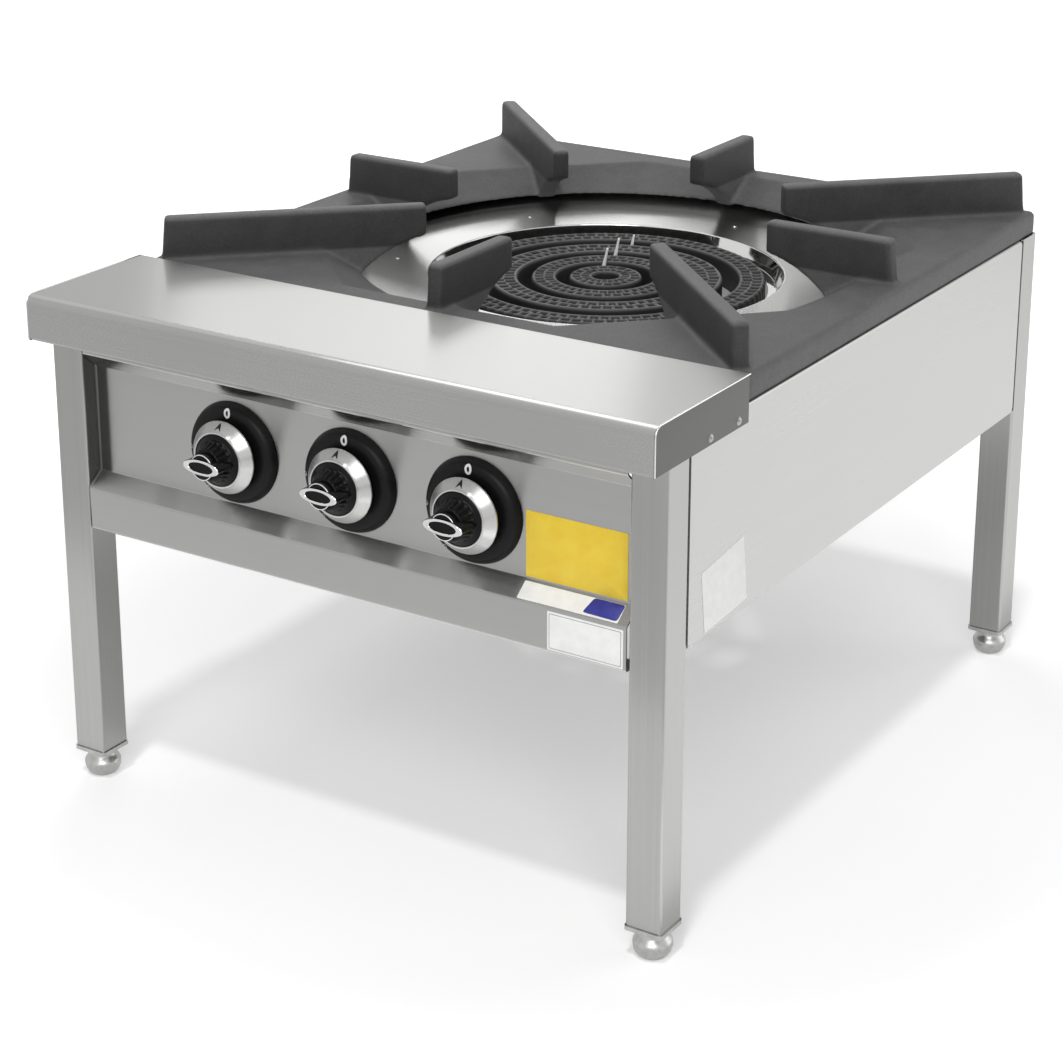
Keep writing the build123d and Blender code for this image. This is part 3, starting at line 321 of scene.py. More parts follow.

# %% [markdown]
# Cast iron comes out of sand, so it has a fine pitted grain and patches of lighter and darker grey. Its
# tone also follows the height through a ramp, with no image map: the ramp paints shade down upright sides
# and into pits, and paints light onto the tops.


# %% Cast iron
def cast_iron(name, tones, rough, grain_mm, bump):
    """Grey-black metal with grains grain_mm wide and patches about sixteen times wider.

    The tones are pairs of a height in millimetres and a colour, from the bottom up.
    """
    material, tree, shader = start_material(name, Metallic=0.0, Specular_IOR_Level=0.3)
    place = add(tree, "ShaderNodeTexCoord")
    spot = place.outputs["Object"]
    axes = add(tree, "ShaderNodeSeparateXYZ", {0: spot})
    low = tones[0][0] / 1000.0
    high = tones[-1][0] / 1000.0
    height = add(tree, "ShaderNodeMapRange", {0: axes.outputs["Z"], 1: low, 2: high})
    ramp = add(tree, "ShaderNodeValToRGB", {0: height.outputs[0]})
    stops = ramp.color_ramp.elements
    for _ in tones[2:]:
        stops.new(1.0)
    for stop, (level, code) in zip(stops, tones):
        stop.position = (level / 1000.0 - low) / (high - low)
        stop.color = linear(code)
    grain = add(tree, "ShaderNodeTexNoise", {"Vector": spot, "Scale": 1000.0 / grain_mm, "Detail": 3.0,
                                             "Roughness": 0.6})
    patch = add(tree, "ShaderNodeTexNoise", {"Vector": spot, "Scale": 60.0 / grain_mm, "Detail": 4.0,
                                             "Roughness": 0.65})
    both = add(tree, "ShaderNodeMath", {0: grain.outputs[0], 1: patch.outputs[0]}, operation="ADD")
    value = add(tree, "ShaderNodeMapRange", {0: both.outputs[0], **TWO_NOISES, 3: 0.76, 4: 1.24})
    mix = add(tree, "ShaderNodeHueSaturation", {"Value": value.outputs[0], "Color": ramp.outputs[0]})
    gloss = add(tree, "ShaderNodeMapRange", {0: patch.outputs[0], **ONE_NOISE, 3: rough - 0.06,
                                             4: rough + 0.06})
    relief = add(tree, "ShaderNodeBump", {"Strength": bump, "Distance": 0.0008, "Height": grain.outputs[0]})
    tree.links.new(mix.outputs[0], shader.inputs["Base Color"])
    tree.links.new(gloss.outputs[0], shader.inputs["Roughness"])
    tree.links.new(relief.outputs[0], shader.inputs["Normal"])
    return material


# The pan support has a thin heat-proof coat. Its height ramp paints the upright arms darker than the
# plate, painted shade on their sides, and their tops paler, painted light from above.
grate_tones = [(424, "5E5E5E"), (447.4, "5A5A5A"), (450, "363637"), (481, "3E3E3E"), (484.6, "666666")]
grate_iron = cast_iron("coated cast iron", grate_tones, 0.62, 1.6, 0.3)
# The burner is bare dark iron. Its height ramp paints shade into its port pits and down its walls, and
# a highlight onto its raised rims and beads.
burner_tones = [(380, "1C1C1C"), (404.6, "181818"), (406.4, "282828"), (407.5, "4A4A4A"),
                (408.0, "5B5B5A"), (408.5, "828281")]
burner_iron = cast_iron("bare cast iron", burner_tones, 0.6, 1.4, 0.3)
print("cast iron ready")

# %% [markdown]
# The small metals and the plastics share one recipe: an even colour with a slight grain, so that no
# surface is a single flat value. Their pieces are too small for more to show.


# %% Small metals, plastics and plates
def grained(name, dark, light, metallic, rough, grain_mm, bump=0.05, shine=0.5):
    """Material between two close colours, with roughness and height from noise grain_mm wide."""
    material, tree, shader = start_material(name, Metallic=metallic, Specular_IOR_Level=shine)
    place = add(tree, "ShaderNodeTexCoord")
    grain = add(tree, "ShaderNodeTexNoise", {"Vector": place.outputs["Object"], "Scale": 1000.0 / grain_mm,
                                             "Detail": 2.0})
    level = add(tree, "ShaderNodeMapRange", {0: grain.outputs[0], **ONE_NOISE})
    mix = add(tree, "ShaderNodeMix", {0: level.outputs[0], 6: linear(dark), 7: linear(light)},
              data_type="RGBA")
    gloss = add(tree, "ShaderNodeMapRange", {0: grain.outputs[0], **ONE_NOISE, 3: rough * 0.85,
                                             4: rough * 1.15})
    relief = add(tree, "ShaderNodeBump", {"Strength": bump, "Distance": 0.0003, "Height": grain.outputs[0]})
    tree.links.new(mix.outputs[2], shader.inputs["Base Color"])
    tree.links.new(gloss.outputs[0], shader.inputs["Roughness"])
    tree.links.new(relief.outputs[0], shader.inputs["Normal"])
    return material


# Chrome plate is a hard, bright mirror. Satin plating blurs it to a soft grey sheen.
chrome = grained("bright chrome", "D6D6D6", "DEDEDE", 1.0, 0.07, 6.0, 0.01)
satin_plate = grained("satin plated steel", "A6A6A4", "B6B6B4", 1.0, 0.36, 4.0, 0.03)
# Moulded black plastic takes the mould's finish: satin bezels, smoother cores, a glossy pointer.
black_satin = grained("satin black plastic", "0C0C0D", "131314", 0.0, 0.4, 1.2, 0.1, 0.16)
black_core = grained("moulded black plastic", "080808", "0D0D0E", 0.0, 0.24, 1.5, 0.05, 0.15)
black_gloss = grained("glossy black plastic", "0B0B0C", "121213", 0.0, 0.16, 1.5, 0.02, 0.3)
# Pressed steel rivets have small sharp highlights.
rivet_steel = grained("steel rivet", "8C8C8B", "9A9A98", 1.0, 0.18, 2.0, 0.02)
# Glazed ceramic is clean white with a highlight along the spike.
ceramic = grained("white ceramic", "FAFAF8", "FFFFFD", 0.0, 0.25, 3.0, 0.02, 0.8)
# A matt dark grey line of painted shade, laid in the narrow gap of a seam.
seam_shade = grained("painted seam shade", "2E2E2E", "383838", 0.0, 0.6, 2.0, 0.1, 0.2)
# Printed marks and films are flat colours under a faint sheen.
white_print = grained("white print", "F0F0F0", "F8F8F8", 0.0, 0.5, 2.0, 0.02)
yellow_film = grained("yellow film", "FBD646", "FFE052", 0.0, 0.35, 12.0, 0.02, 0.2)
pale_film = grained("pale film", "F2F2F1", "FBFBFA", 0.0, 0.35, 10.0, 0.02, 0.3)
dull_film = grained("dull film", "E2E2E1", "EAEAE9", 0.0, 0.4, 10.0, 0.02, 0.2)
grey_film = grained("grey film", "9C9C9E", "A8A8AA", 0.0, 0.4, 8.0, 0.02)
blue_film = grained("blue film", "2A2C86", "363A9C", 0.0, 0.35, 8.0, 0.02)
# The gas train is machined brass, drawn copper and zinc-plated steel: warm and cold soft mirrors.
brass = grained("brass", "B08D4A", "C39F58", 1.0, 0.28, 3.0)
copper = grained("copper tube", "B0704C", "C48259", 1.0, 0.3, 4.0)
zinc_steel = grained("zinc-plated steel", "A5A6A4", "B8B8B5", 1.0, 0.36, 7.0)
probe_steel = grained("heat-proof steel", "C9C9C7", "DADAD8", 1.0, 0.25, 3.0)
print("small materials ready")

# %% [markdown]
# The knob skirts are turned on a lathe, so their scratches run in rings. Rings smear a reflection outwards,
# which gives bright and dark sectors. The direction along a ring is at right angles to the way out from the
# knob's axis, and the axes repeat every 118 mm, so one material serves all three knobs.

# %% Turned plating
KNOB_Z = 336.0
KNOB_PITCH = 118.0
PLATING_GRAIN_MM = 2.0
satin_chrome, tree, shader = start_material("turned satin chrome", Metallic=1.0, Roughness=0.30,
                                            Anisotropic=0.85, Anisotropic_Rotation=QUARTER_TURN)
place = add(tree, "ShaderNodeTexCoord")
spot = place.outputs["Object"]
axes = add(tree, "ShaderNodeSeparateXYZ", {0: spot})
half_pitch = KNOB_PITCH / 2000.0
across = add(tree, "ShaderNodeMath", {0: axes.outputs["X"], 1: half_pitch, 2: -half_pitch},
             operation="WRAP")
upward = add(tree, "ShaderNodeMath", {0: KNOB_Z / 1000.0, 1: axes.outputs["Z"]}, operation="SUBTRACT")
along = add(tree, "ShaderNodeCombineXYZ", {0: upward.outputs[0], 2: across.outputs[0]})
tree.links.new(along.outputs[0], shader.inputs["Tangent"])
grain = add(tree, "ShaderNodeTexNoise", {"Vector": spot, "Scale": 1000.0 / PLATING_GRAIN_MM, "Detail": 2.0})
tone = add(tree, "ShaderNodeMix", {0: grain.outputs[0], 6: linear("BCBCBB"), 7: linear("CACAC9")},
           data_type="RGBA")
tree.links.new(tone.outputs[2], shader.inputs["Base Color"])
print("turned plating ready")

# %% [markdown]
# ## CAD parts that stay
# Sheets, tubes and the gas train have the right shape already, so they only get a material. Sheet metal is
# brushed along its length.

# %% Materials of the CAD parts
FINISHES = {
    "front_shelf": steel_shelf,
    "control_panel": steel_across,
    "back_panel": steel_across,
    "side_panel_left": steel_deep,
    "side_panel_right": steel_deep,
    "shelf_rivets": rivet_steel,
    "leg_end_caps": zinc_steel,
    "burner_bar_front": zinc_steel,
    "burner_bar_rear": zinc_steel,
    "probe_bracket": zinc_steel,
    "valve_nuts": zinc_steel,
    "injector_plate": zinc_steel,
    "air_shutters": zinc_steel,
    "gas_manifold": zinc_steel,
    "gas_inlet_pipe": zinc_steel,
    "inlet_locknut": brass,
    "injectors": brass,
}
FAMILIES = {
    "leg_": steel_upright,
    "thermocouple_": probe_steel,
    "valve_body_": brass,
    "valve_plug_": brass,
    "valve_spindle_": zinc_steel,
    "gas_tube_": copper,
}
for name, part in nodes.items():
    finish = FINISHES.get(name)
    for stem, material in FAMILIES.items():
        if finish is None and name.startswith(stem):
            finish = material
    if finish is not None:
        part.data.materials.clear()
        part.data.materials.append(finish)
print("CAD parts with a finish:", sum(len(part.data.materials) > 0 for part in nodes.values()))

# %% [markdown]
# The ends of the shelf are closed by flanges. Their edges are polished to a narrow round line that shines
# along the top and down the front corner. A thin tube along the edge shows that light, where a bevel on
# the sheet would change the CAD part.


# %% Polished shelf edges
def bead(path, radius, steps=12):
    """Closed tube along a path in an upright plane: circles across x and the way out from the path."""
    path = np.asarray(path, float)
    along = np.gradient(path, axis=0)
    along = along / np.linalg.norm(along, axis=1)[:, None]
    out = np.stack([np.zeros(len(path)), -along[:, 2], along[:, 1]], axis=-1)
    angle = np.linspace(0.0, 2 * np.pi, steps, endpoint=False)[None, :, None]
    side = np.array([1.0, 0.0, 0.0])
    tube = path[:, None] + radius * (np.cos(angle) * out[:, None] + np.sin(angle) * side)
    ends = np.broadcast_to(path[[0, -1], None], (2, steps, 3))
    return np.concatenate([ends[:1], tube, ends[1:]], axis=0)


EDGE_R = 0.6
EDGE_X = 300.75
EDGE_SINK = 0.45
EDGE_REAR_Y = -227.8
EDGE_FOOT_Z = 413.0
LIP_Y = -371.0
SHELF_Z = 451.0
SHELF_BEND = 8.0
bend = np.linspace(0.0, np.pi / 2, 9)
edge_y = np.concatenate([[EDGE_REAR_Y], LIP_Y + SHELF_BEND - SHELF_BEND * np.sin(bend), [LIP_Y]])
edge_z = np.concatenate([[SHELF_Z], SHELF_Z - SHELF_BEND + SHELF_BEND * np.cos(bend), [EDGE_FOOT_Z]])
edge_beads = []
for end_x in (-EDGE_X, EDGE_X):
    edge_path = np.stack([np.full(edge_y.size, end_x), edge_y + EDGE_SINK, edge_z], axis=-1)
    edge_beads.append((bead(edge_path, EDGE_R), False, True, steel_collar))
make_piece("shelf_edge_beads", edge_beads, "frame")

# %% [markdown]
# ## Pan support
# A casting has no sharp edges. Bevels would have to meet at many odd corners here, so the CAD casting is
# copied, rebuilt on a fine cubic grid and relaxed, which rounds each edge and fills the inner corners. Flat
# areas then give up most of their points.


# %% Recast the pan support
def recast(node, voxel_mm, rounds, keep):
    """Copy of a CAD part, rebuilt on a cubic grid, smoothed for some rounds and thinned to a share."""
    copy = put(node + "_work", plain_mesh(welded(node), node + "_work"))
    remesh = copy.modifiers.new("grid", "REMESH")
    remesh.mode = "VOXEL"
    remesh.voxel_size = voxel_mm / 1000.0
    relax = copy.modifiers.new("relax", "SMOOTH")
    relax.factor = 0.5
    relax.iterations = rounds
    thin = copy.modifiers.new("thin", "DECIMATE")
    thin.ratio = keep
    graph = bpy.context.evaluated_depsgraph_get()
    result = bpy.data.meshes.new_from_object(copy.evaluated_get(graph))
    bpy.data.objects.remove(copy)
    result.materials.clear()
    return result


grate_mesh = recast("pan_support_grate", voxel_mm=2.0, rounds=4, keep=0.35)
finish_piece("pan_support_casting", grate_mesh, [grate_iron], "grate",
             ["pan_support_grate"], sharp=75.0)

# %% [markdown]
# ## Burner rings
# Each ring casting carries two rows of ports. Cutting each port out would make a heavy mesh, so a port is
# a small pit in the top: the height drops where two bands cross, one along the row and one across it. The
# mixing tube below is the CAD casting up to the underside of the ring.

# %% Ring castings with ports
GRATE_Y = 62.0
RING_TOP = 408.0
RING_FOOT = 382.0
RING_WALL = 9.0
RING_ROUND = 2.6
POINTS_PER_PORT = 12
PORT_ROWS = ((0.30, 0.0), (0.70, 0.5))


def ring_grid(inner, outer, ports, scallop):
    """Closed ring: a rounded section turned about the upright axis, with pits in two staggered rows.

    The pits are up to 5 mm deep, about three fifths of the pitch wide and a third of the ring long, and a
    hash of their number makes them uneven. Low beads stand between the rows and low rims along the edges.
    The scallop draws the top of the outer wall in beside each pit of the outer row, which comes last.
    """
    arc = np.linspace(0.0, np.pi / 2, 5)
    flat = np.linspace(inner + RING_ROUND, outer - RING_ROUND, 27)[1:-1]
    radius = np.concatenate([
        [inner, inner],
        inner + RING_ROUND - RING_ROUND * np.cos(arc),
        flat,
        outer - RING_ROUND + RING_ROUND * np.sin(arc),
        [outer, outer],
    ])
    height = np.concatenate([
        [RING_FOOT + 0.3, RING_TOP - RING_WALL],
        RING_TOP - RING_ROUND + RING_ROUND * np.sin(arc),
        np.full(flat.size, RING_TOP),
        RING_TOP - RING_ROUND + RING_ROUND * np.cos(arc),
        [RING_TOP - RING_WALL, RING_FOOT + 0.3],
    ])
    angle = np.linspace(0.0, 2 * np.pi, ports * POINTS_PER_PORT, endpoint=False)[:, None]
    across = (radius - inner) / (outer - inner)
    depth = 0.0
    for place, shift in PORT_ROWS:
        count = angle * ports / (2 * np.pi) + shift
        beat = count % 1.0 - 0.5
        chance = np.sin(np.floor(count % ports) * 12.9898 + 7.0 * place + inner) * 437.585 % 1.0
        row = step_box(across - place - 0.05 * (chance - 0.5), 0.15, 0.06)
        port = step_box(beat, 0.24 + 0.14 * chance, 0.13)
        depth = depth + 0.3 * row + (3.0 + 2.0 * chance) * row * port
    wall = step_box(beat, 0.32, 0.12)
    beat = angle * ports / (2 * np.pi) % 1.0 - 0.5
    bead_row = step_box(across - 0.5, 0.04, 0.05) * step_box(beat, 0.16, 0.16)
    rims = step_box(across - 0.5, 0.47, 0.03) - step_box(across - 0.5, 0.39, 0.03)
    # The beads and rims rise into the pale top of the burner iron's height ramp, a painted highlight; the
    # pits sink into its dark tones, painted shade.
    depth = depth - 0.4 * bead_row - 0.3 * rims
    upper = step_box(height - RING_TOP, 6.0, 5.0) * step_box(across - 1.0, 0.06, 0.1)
    reach = radius - scallop * upper * wall
    level = height - depth * (height > RING_TOP - 0.5)
    level = np.broadcast_to(level, reach.shape)
    return np.stack([reach * np.cos(angle), GRATE_Y + reach * np.sin(angle), level], axis=-1)


def lower_casting(node):
    """The part of a CAD burner up to the underside of its rings: each point above that height goes."""
    work = welded(node)
    high = [point for point in work.verts if point.co.z > RING_FOOT / 1000.0 + 5e-5]
    bmesh.ops.delete(work, geom=high, context="VERTS")
    return plain_mesh(work, node + "_lower")


def burner(name, node, rings):
    """One circuit's casting: its port rings joined to the lower part of the CAD casting."""
    crown = make_piece(name, [(ring_grid(*ring), True, True, burner_iron) for ring in rings], "frame",
                       [node], sharp=50.0)
    work = bmesh.new()
    work.from_mesh(crown.data)
    work.from_mesh(lower_casting(node))
    work.to_mesh(crown.data)
    work.free()
    crown.data.set_sharp_from_angle(angle=np.radians(50.0))
    return crown


burner("burner_outer_casting", "burner_outer", [(121.0, 145.0, 88, 1.4)])
burner("burner_middle_casting", "burner_middle", [(80.0, 106.0, 62, 0.0)])
burner("burner_inner_casting", "burner_inner", [(45.0, 67.5, 44, 0.0), (12.0, 33.0, 20, 0.0)])

# %% [markdown]
# ## Drip tray
# The tray is a mirror, and the flat facets of a CAD mesh would show in it. One smooth profile is carried
# round instead: a flat ring about the burner, a collar, an almost flat floor, a sloping wall and a flat
# plate under the pan support that ends in a rectangle. Right of the burner the collar's wall leans in at
# its foot, so it mirrors the light room there and not the dark burner.

# %% Smooth tray
tray_low, tray_high = (np.array(corner) * 1000.0 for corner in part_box("drip_tray"))
print("tray box in millimetres:", tray_low.round(2), tray_high.round(2))
TRAY_INSET = 0.1
half_w = (tray_high[0] - tray_low[0]) / 2 - TRAY_INSET
half_d = (tray_high[1] - tray_low[1]) / 2 - TRAY_INSET
tray_y = (tray_high[1] + tray_low[1]) / 2
corner_angle = np.arctan2(half_d, half_w)
angles = np.linspace(0.0, 2 * np.pi, 256, endpoint=False)
extra = np.array([corner_angle, np.pi - corner_angle, np.pi + corner_angle, 2 * np.pi - corner_angle])
angles = np.unique(np.concatenate([angles, extra]))[:, None]
RING_R = 147.6
HOLE_R = 161.4
FLOOR_R = 221.0
DISH_R = 251.0
COLLAR_FOOT_Z = 398.0
HOLE_Z = 412.0
FLOOR_Z = 414.0
PLATE_Z = 427.0
SHEET = 0.9
BEND_STEPS = 6


def dish(outward, down):
    """Profile from the ring at the collar's foot to the flat plate, moved outwards and down."""
    return soften([
        (RING_R, COLLAR_FOOT_Z - down, 0.0),
        (HOLE_R + outward, COLLAR_FOOT_Z - down, 0.8),
        (HOLE_R + outward, HOLE_Z - down, 1.2 - 0.8 * outward),
        (FLOOR_R, FLOOR_Z - down, 7.0),
        (DISH_R, PLATE_Z - down, 7.0),
        (DISH_R + 12.0, PLATE_Z - down, 0.0),
    ], BEND_STEPS)


upper = dish(0.0, 0.0)
lower = dish(SHEET, SHEET)[::-1]
edge = np.minimum(half_w / np.maximum(np.abs(np.cos(angles)), 1e-9),
                  half_d / np.maximum(np.abs(np.sin(angles)), 1e-9))
fixed = (angles.size, len(upper))
tray_r = np.concatenate([np.broadcast_to(upper[:, 0], fixed), edge, edge,
                         np.broadcast_to(lower[:, 0], fixed)], axis=1)
tray_z = np.broadcast_to(np.concatenate([upper[:, 1], [PLATE_Z, PLATE_Z - SHEET], lower[:, 1]]),
                         tray_r.shape)

# %% Leaning collar and tray fixings
COLLAR_LEAN = 6.0
LEAN_TURN = 0.8
LEAN_EDGE = 0.76
LEAN_FADE = 0.12
foot_share = np.clip((HOLE_Z - tray_z) / (HOLE_Z - COLLAR_FOOT_Z), 0.0, 1.0) * (tray_r > RING_R + 1.0)
flare = np.clip((np.cos(angles - LEAN_TURN) - LEAN_EDGE) / LEAN_FADE, 0.0, 1.0)
tray_r = tray_r - COLLAR_LEAN * foot_share * flare * flare * (3.0 - 2.0 * flare)
tray_grid = np.stack([tray_r * np.cos(angles), tray_y + tray_r * np.sin(angles), tray_z], axis=-1)
fold = 1 + (BEND_STEPS + 1) + BEND_STEPS // 2
collar_grid = tray_grid[:, :fold + 1]
sheet_grid = np.concatenate([tray_grid[:, fold:], tray_grid[:, :1]], axis=1)
make_piece("drip_tray_pressing", [
    (collar_grid, True, False, steel_collar),
    (sheet_grid, True, False, steel_tray),
], "frame", ["drip_tray"])

STUD_RING_R = 195.0
STUD_FOOT_Z = 413.0
stud_profile = soften([(2.0, 0.0, 0.0), (1.9, 0.9, 0.5), (0.0, 1.1, 0.0)], 4)
stud_grids = []
for turn in np.radians([81.4, 143.3, 201.4, 261.4, 321.4, 21.4]):
    place = (STUD_RING_R * np.cos(turn), GRATE_Y + STUD_RING_R * np.sin(turn), STUD_FOOT_Z)
    stud_grids.append((turned(stud_profile, place, steps=20), True, False, chrome))
make_piece("tray_studs", stud_grids, "frame")

# %% [markdown]
# ## Flame probes
# Each probe ends in a white ceramic spike that leans a little. The copy of the CAD probe keeps its lead and
# its base. Only the spike is tilted, by a shear that grows with the height, so the joint stays closed.

# %% Leaning probes
SPIKE_FOOT_Z = 385.0
SPIKE_LEAN = 0.22


def leaning(node, above_mm, lean):
    """Welded copy of a CAD probe; each point above a height moves right by a share of its rise.

    Faces whose middle lies above that height take the second material.
    """
    mesh = plain_mesh(welded(node), node + "_copy")
    above = above_mm / 1000.0
    middles = np.empty(3 * len(mesh.polygons), np.float32)
    mesh.polygons.foreach_get("center", middles)
    mesh.polygons.foreach_set("material_index", (middles[2::3] > above).astype(np.int32))
    points = np.empty(3 * len(mesh.vertices), np.float32)
    mesh.vertices.foreach_get("co", points)
    points[0::3] += lean * np.maximum(0.0, points[2::3] - above)
    mesh.vertices.foreach_set("co", points)
    return mesh


for number in (1, 2, 3):
    node = f"thermocouple_{number}"
    finish_piece(f"probe_{number}_spike", leaning(node, SPIKE_FOOT_Z, SPIKE_LEAN), [probe_steel, ceramic],
                 "frame", [node])

# %% [markdown]
# ## Knobs
# A knob has a black core with an oval grip, a plated skirt with a pointer, and a black bezel behind it on
# the panel. All are turned profiles or stacked outlines, and the oval has a short formula in polar form.
# The core's flutes are a wave in its radius.

# %% Knob handles
PANEL_Y = -329.5
KNOB_XS = (-KNOB_PITCH, 0.0, KNOB_PITCH)
around = np.linspace(0.0, 2 * np.pi, 120, endpoint=False)


def oval(length, width):
    """Distance to an oval outline in every direction: the polar form of an ellipse."""
    return 0.5 / np.hypot(np.cos(around) / length, np.sin(around) / width)


def loft(levels, x):
    """Stack outlines into a grid: each level is (distances in all directions, millimetres before y = 0)."""
    rows = []
    for r, front in levels:
        rows.append(np.stack([x + r * np.cos(around), np.full(around.size, -front),
                              KNOB_Z + r * np.sin(around)], axis=-1))
    return np.stack(rows, axis=1)


core = soften([
    (4.2, 339.2, 0.0), (21.0, 339.2, 0.8), (22.0, 340.5, 0.8), (22.0, 352.6, 0.9), (18.2, 354.4, 0.8),
    (17.4, 356.4, 0.8), (13.4, 366.4, 1.0), (0.0, 367.0, 0.0),
], 6)
post = soften([(0.0, 358.0, 0.0), (10.7, 358.0, 0.1), (10.7, 372.0, 0.1), (0.0, 372.0, 0.0)], 2)
post_rim = soften([(10.75, 371.5, 0.0), (11.0, 371.8, 0.1), (11.0, 372.5, 0.2), (10.2, 372.6, 0.2),
                   (10.1, 371.9, 0.0)], 3)
full = oval(37.0, 13.2)
face = oval(25.0, 8.8)
grip_levels = [(full * 0.0, 351.5), (full, 351.5), (full, 372.8), (full - 0.15, 373.3), (face, 373.2),
               (face * 0.97, 372.7), (full * 0.0, 372.6)]
trim_levels = [(full - 0.1, 372.9), (full - 0.25, 373.6), (full - 0.8, 374.0), (face + 0.4, 374.0),
               (face, 373.6), (face, 372.9)]
FLUTES = 20
FLUTE_DEPTH = 0.09
FLUTE_MIDDLE_Y = -360.8
for number, x in enumerate(KNOB_XS, start=1):
    hub = (x, 0.0, KNOB_Z)
    side = turned(core, hub, True, 200) - hub
    flute = np.abs(np.cos(FLUTES / 2 * np.arctan2(side[..., 2], side[..., 0]))) ** 3
    fluted = flute * step_box(side[..., 1] - FLUTE_MIDDLE_Y, 4.6, 1.6)
    side[..., 0::2] *= (1.0 - FLUTE_DEPTH * fluted)[..., None]
    make_piece(f"knob_{number}_handle", [
        (side + hub, True, False, black_core),
        (turned(post, hub, True, 72), True, False, black_core),
        (turned(post_rim, hub, True, 72), True, True, chrome),
        (loft(grip_levels, x), True, False, black_core),
        (loft(trim_levels, x), True, True, chrome),
    ], f"knob_{number}", [f"knob_{number}"], sharp=35.0)

# %% [markdown]
# The skirt is a plated cone. Its pointer is a thin black arrowhead that lies on the slope: the flat points
# are carried up the cone and round its axis.

# %% Knob skirts
POINTER_R = 27.7
POINTER_FRONT = 348.6
SLOPE_OUT = 0.7
SLOPE_BACK = 0.715
skirt = soften([
    (22.15, 344.0, 0.0), (22.15, 343.6, 0.1), (31.2, 343.6, 0.3), (31.2, 345.0, 0.7), (24.2, 352.2, 0.5),
    (23.9, 353.0, 0.3), (22.6, 353.2, 0.4), (22.15, 352.5, 0.0),
], 4)
pointer = np.array([(0.0, 4.0), (1.5, 0.6), (3.2, -3.6), (1.6, -2.2), (0.0, -0.9), (-1.6, -2.2),
                    (-3.2, -3.6), (-1.5, 0.6)])
pointer_r = POINTER_R + SLOPE_OUT * pointer[:, 1]
pointer_y = -(POINTER_FRONT - SLOPE_BACK * pointer[:, 1])
pointer_turn = pointer[:, 0] / POINTER_R
for number, x in enumerate(KNOB_XS, start=1):
    arrow = np.stack([x + pointer_r * np.sin(pointer_turn), pointer_y,
                      KNOB_Z + pointer_r * np.cos(pointer_turn)], axis=-1)
    make_piece(f"knob_{number}_skirt_plating", [
        (turned(skirt, (x, 0.0, KNOB_Z), True, 128), True, True, satin_chrome),
        (pad(arrow - [0.0, 0.02, 0.0], np.array([0.0, -0.25, 0.2])), True, False, black_gloss),
    ], f"knob_{number}", [f"knob_skirt_{number}"], sharp=35.0)

# %% [markdown]
# The bezel is a flat ring that falls away to its edge. Its printed marks could be a picture. Here they are
# thin raised shapes, a plain 0 at the top and two flames, which stay sharp from close by.

# %% Knob bezels
BEZEL_H = 8.0
BEZEL_HOLE_R = 26.2
BEZEL_FLAT_R = 33.0
BEZEL_R = 44.0
BEZEL_POWER = 4.2


def bezel_height(radius):
    """Height of the bezel over the panel: flat near the knob, then a fall by a power of the way out."""
    t = np.clip((np.asarray(radius) - BEZEL_FLAT_R) / (BEZEL_R - BEZEL_FLAT_R), 0.0, 1.0)
    return BEZEL_H * (1.0 - t ** BEZEL_POWER)


def on_bezel(x, radial, tangent, angle, lift):
    """Place flat points (tangent, radial) on the bezel at an angle from the top, lifted off its surface."""
    radius = np.hypot(radial, tangent)
    turn = angle + np.arctan2(tangent, radial)
    front = PANEL_Y - bezel_height(radius) - lift
    return np.stack([x + radius * np.sin(turn), front, KNOB_Z + radius * np.cos(turn)], axis=-1)


def teardrop(count=24):
    """Small flame outline: a circle whose upper half is drawn out to a point."""
    t = np.linspace(0.0, 2 * np.pi, count, endpoint=False)
    return np.stack([1.5 * np.sin(t) * (1.0 - 0.45 * np.cos(t)), 2.6 * np.cos(t)], axis=-1)


ZERO_R = 36.0
FLAME_R = 40.6
MARK_LIFT = 0.35
FLAME_TURNS = (-1.5708, -2.53)
radii = np.linspace(BEZEL_R - 0.15, BEZEL_HOLE_R, 24)
bezel = np.concatenate([[(BEZEL_HOLE_R, 0.1), (BEZEL_R - 0.5, 0.1)],
                        np.stack([radii, bezel_height(radii) + 0.4], axis=-1)])
spin = np.linspace(0.0, 2 * np.pi, 32, endpoint=False)
drop = teardrop()
for number, x in enumerate(KNOB_XS, start=1):
    zero = np.stack([
        on_bezel(x, ZERO_R + (3.3 + w) * np.cos(spin), (2.2 + w) * np.sin(spin), 0.0, MARK_LIFT + lift)
        for w, lift in ((1.0, 0.0), (0.95, 0.3), (-0.95, 0.3), (-1.0, 0.0))
    ], axis=1)
    marks = [(zero, True, True, white_print)]
    for angle in FLAME_TURNS:
        flame = on_bezel(x, FLAME_R + drop[:, 1], drop[:, 0], angle, MARK_LIFT)
        marks.append((pad(flame, np.array([0.0, -0.25, 0.0])), True, False, white_print))
    make_piece(f"knob_{number}_bezel_ring", [
        (turned(bezel, (x, PANEL_Y, KNOB_Z), True, 128), True, True, black_satin), *marks,
    ], "frame", [f"knob_bezel_{number}"], sharp=35.0)

# %% [markdown]
# ## Feet
# The feet are turned and plated: a small base, a round bulb, a neck, and a threaded stud inside the leg
# that shows when a foot is screwed out. Plain ridges stand in for the spiral of the thread, since a turned
# profile can't hold one and the pitch is too fine to tell them apart.

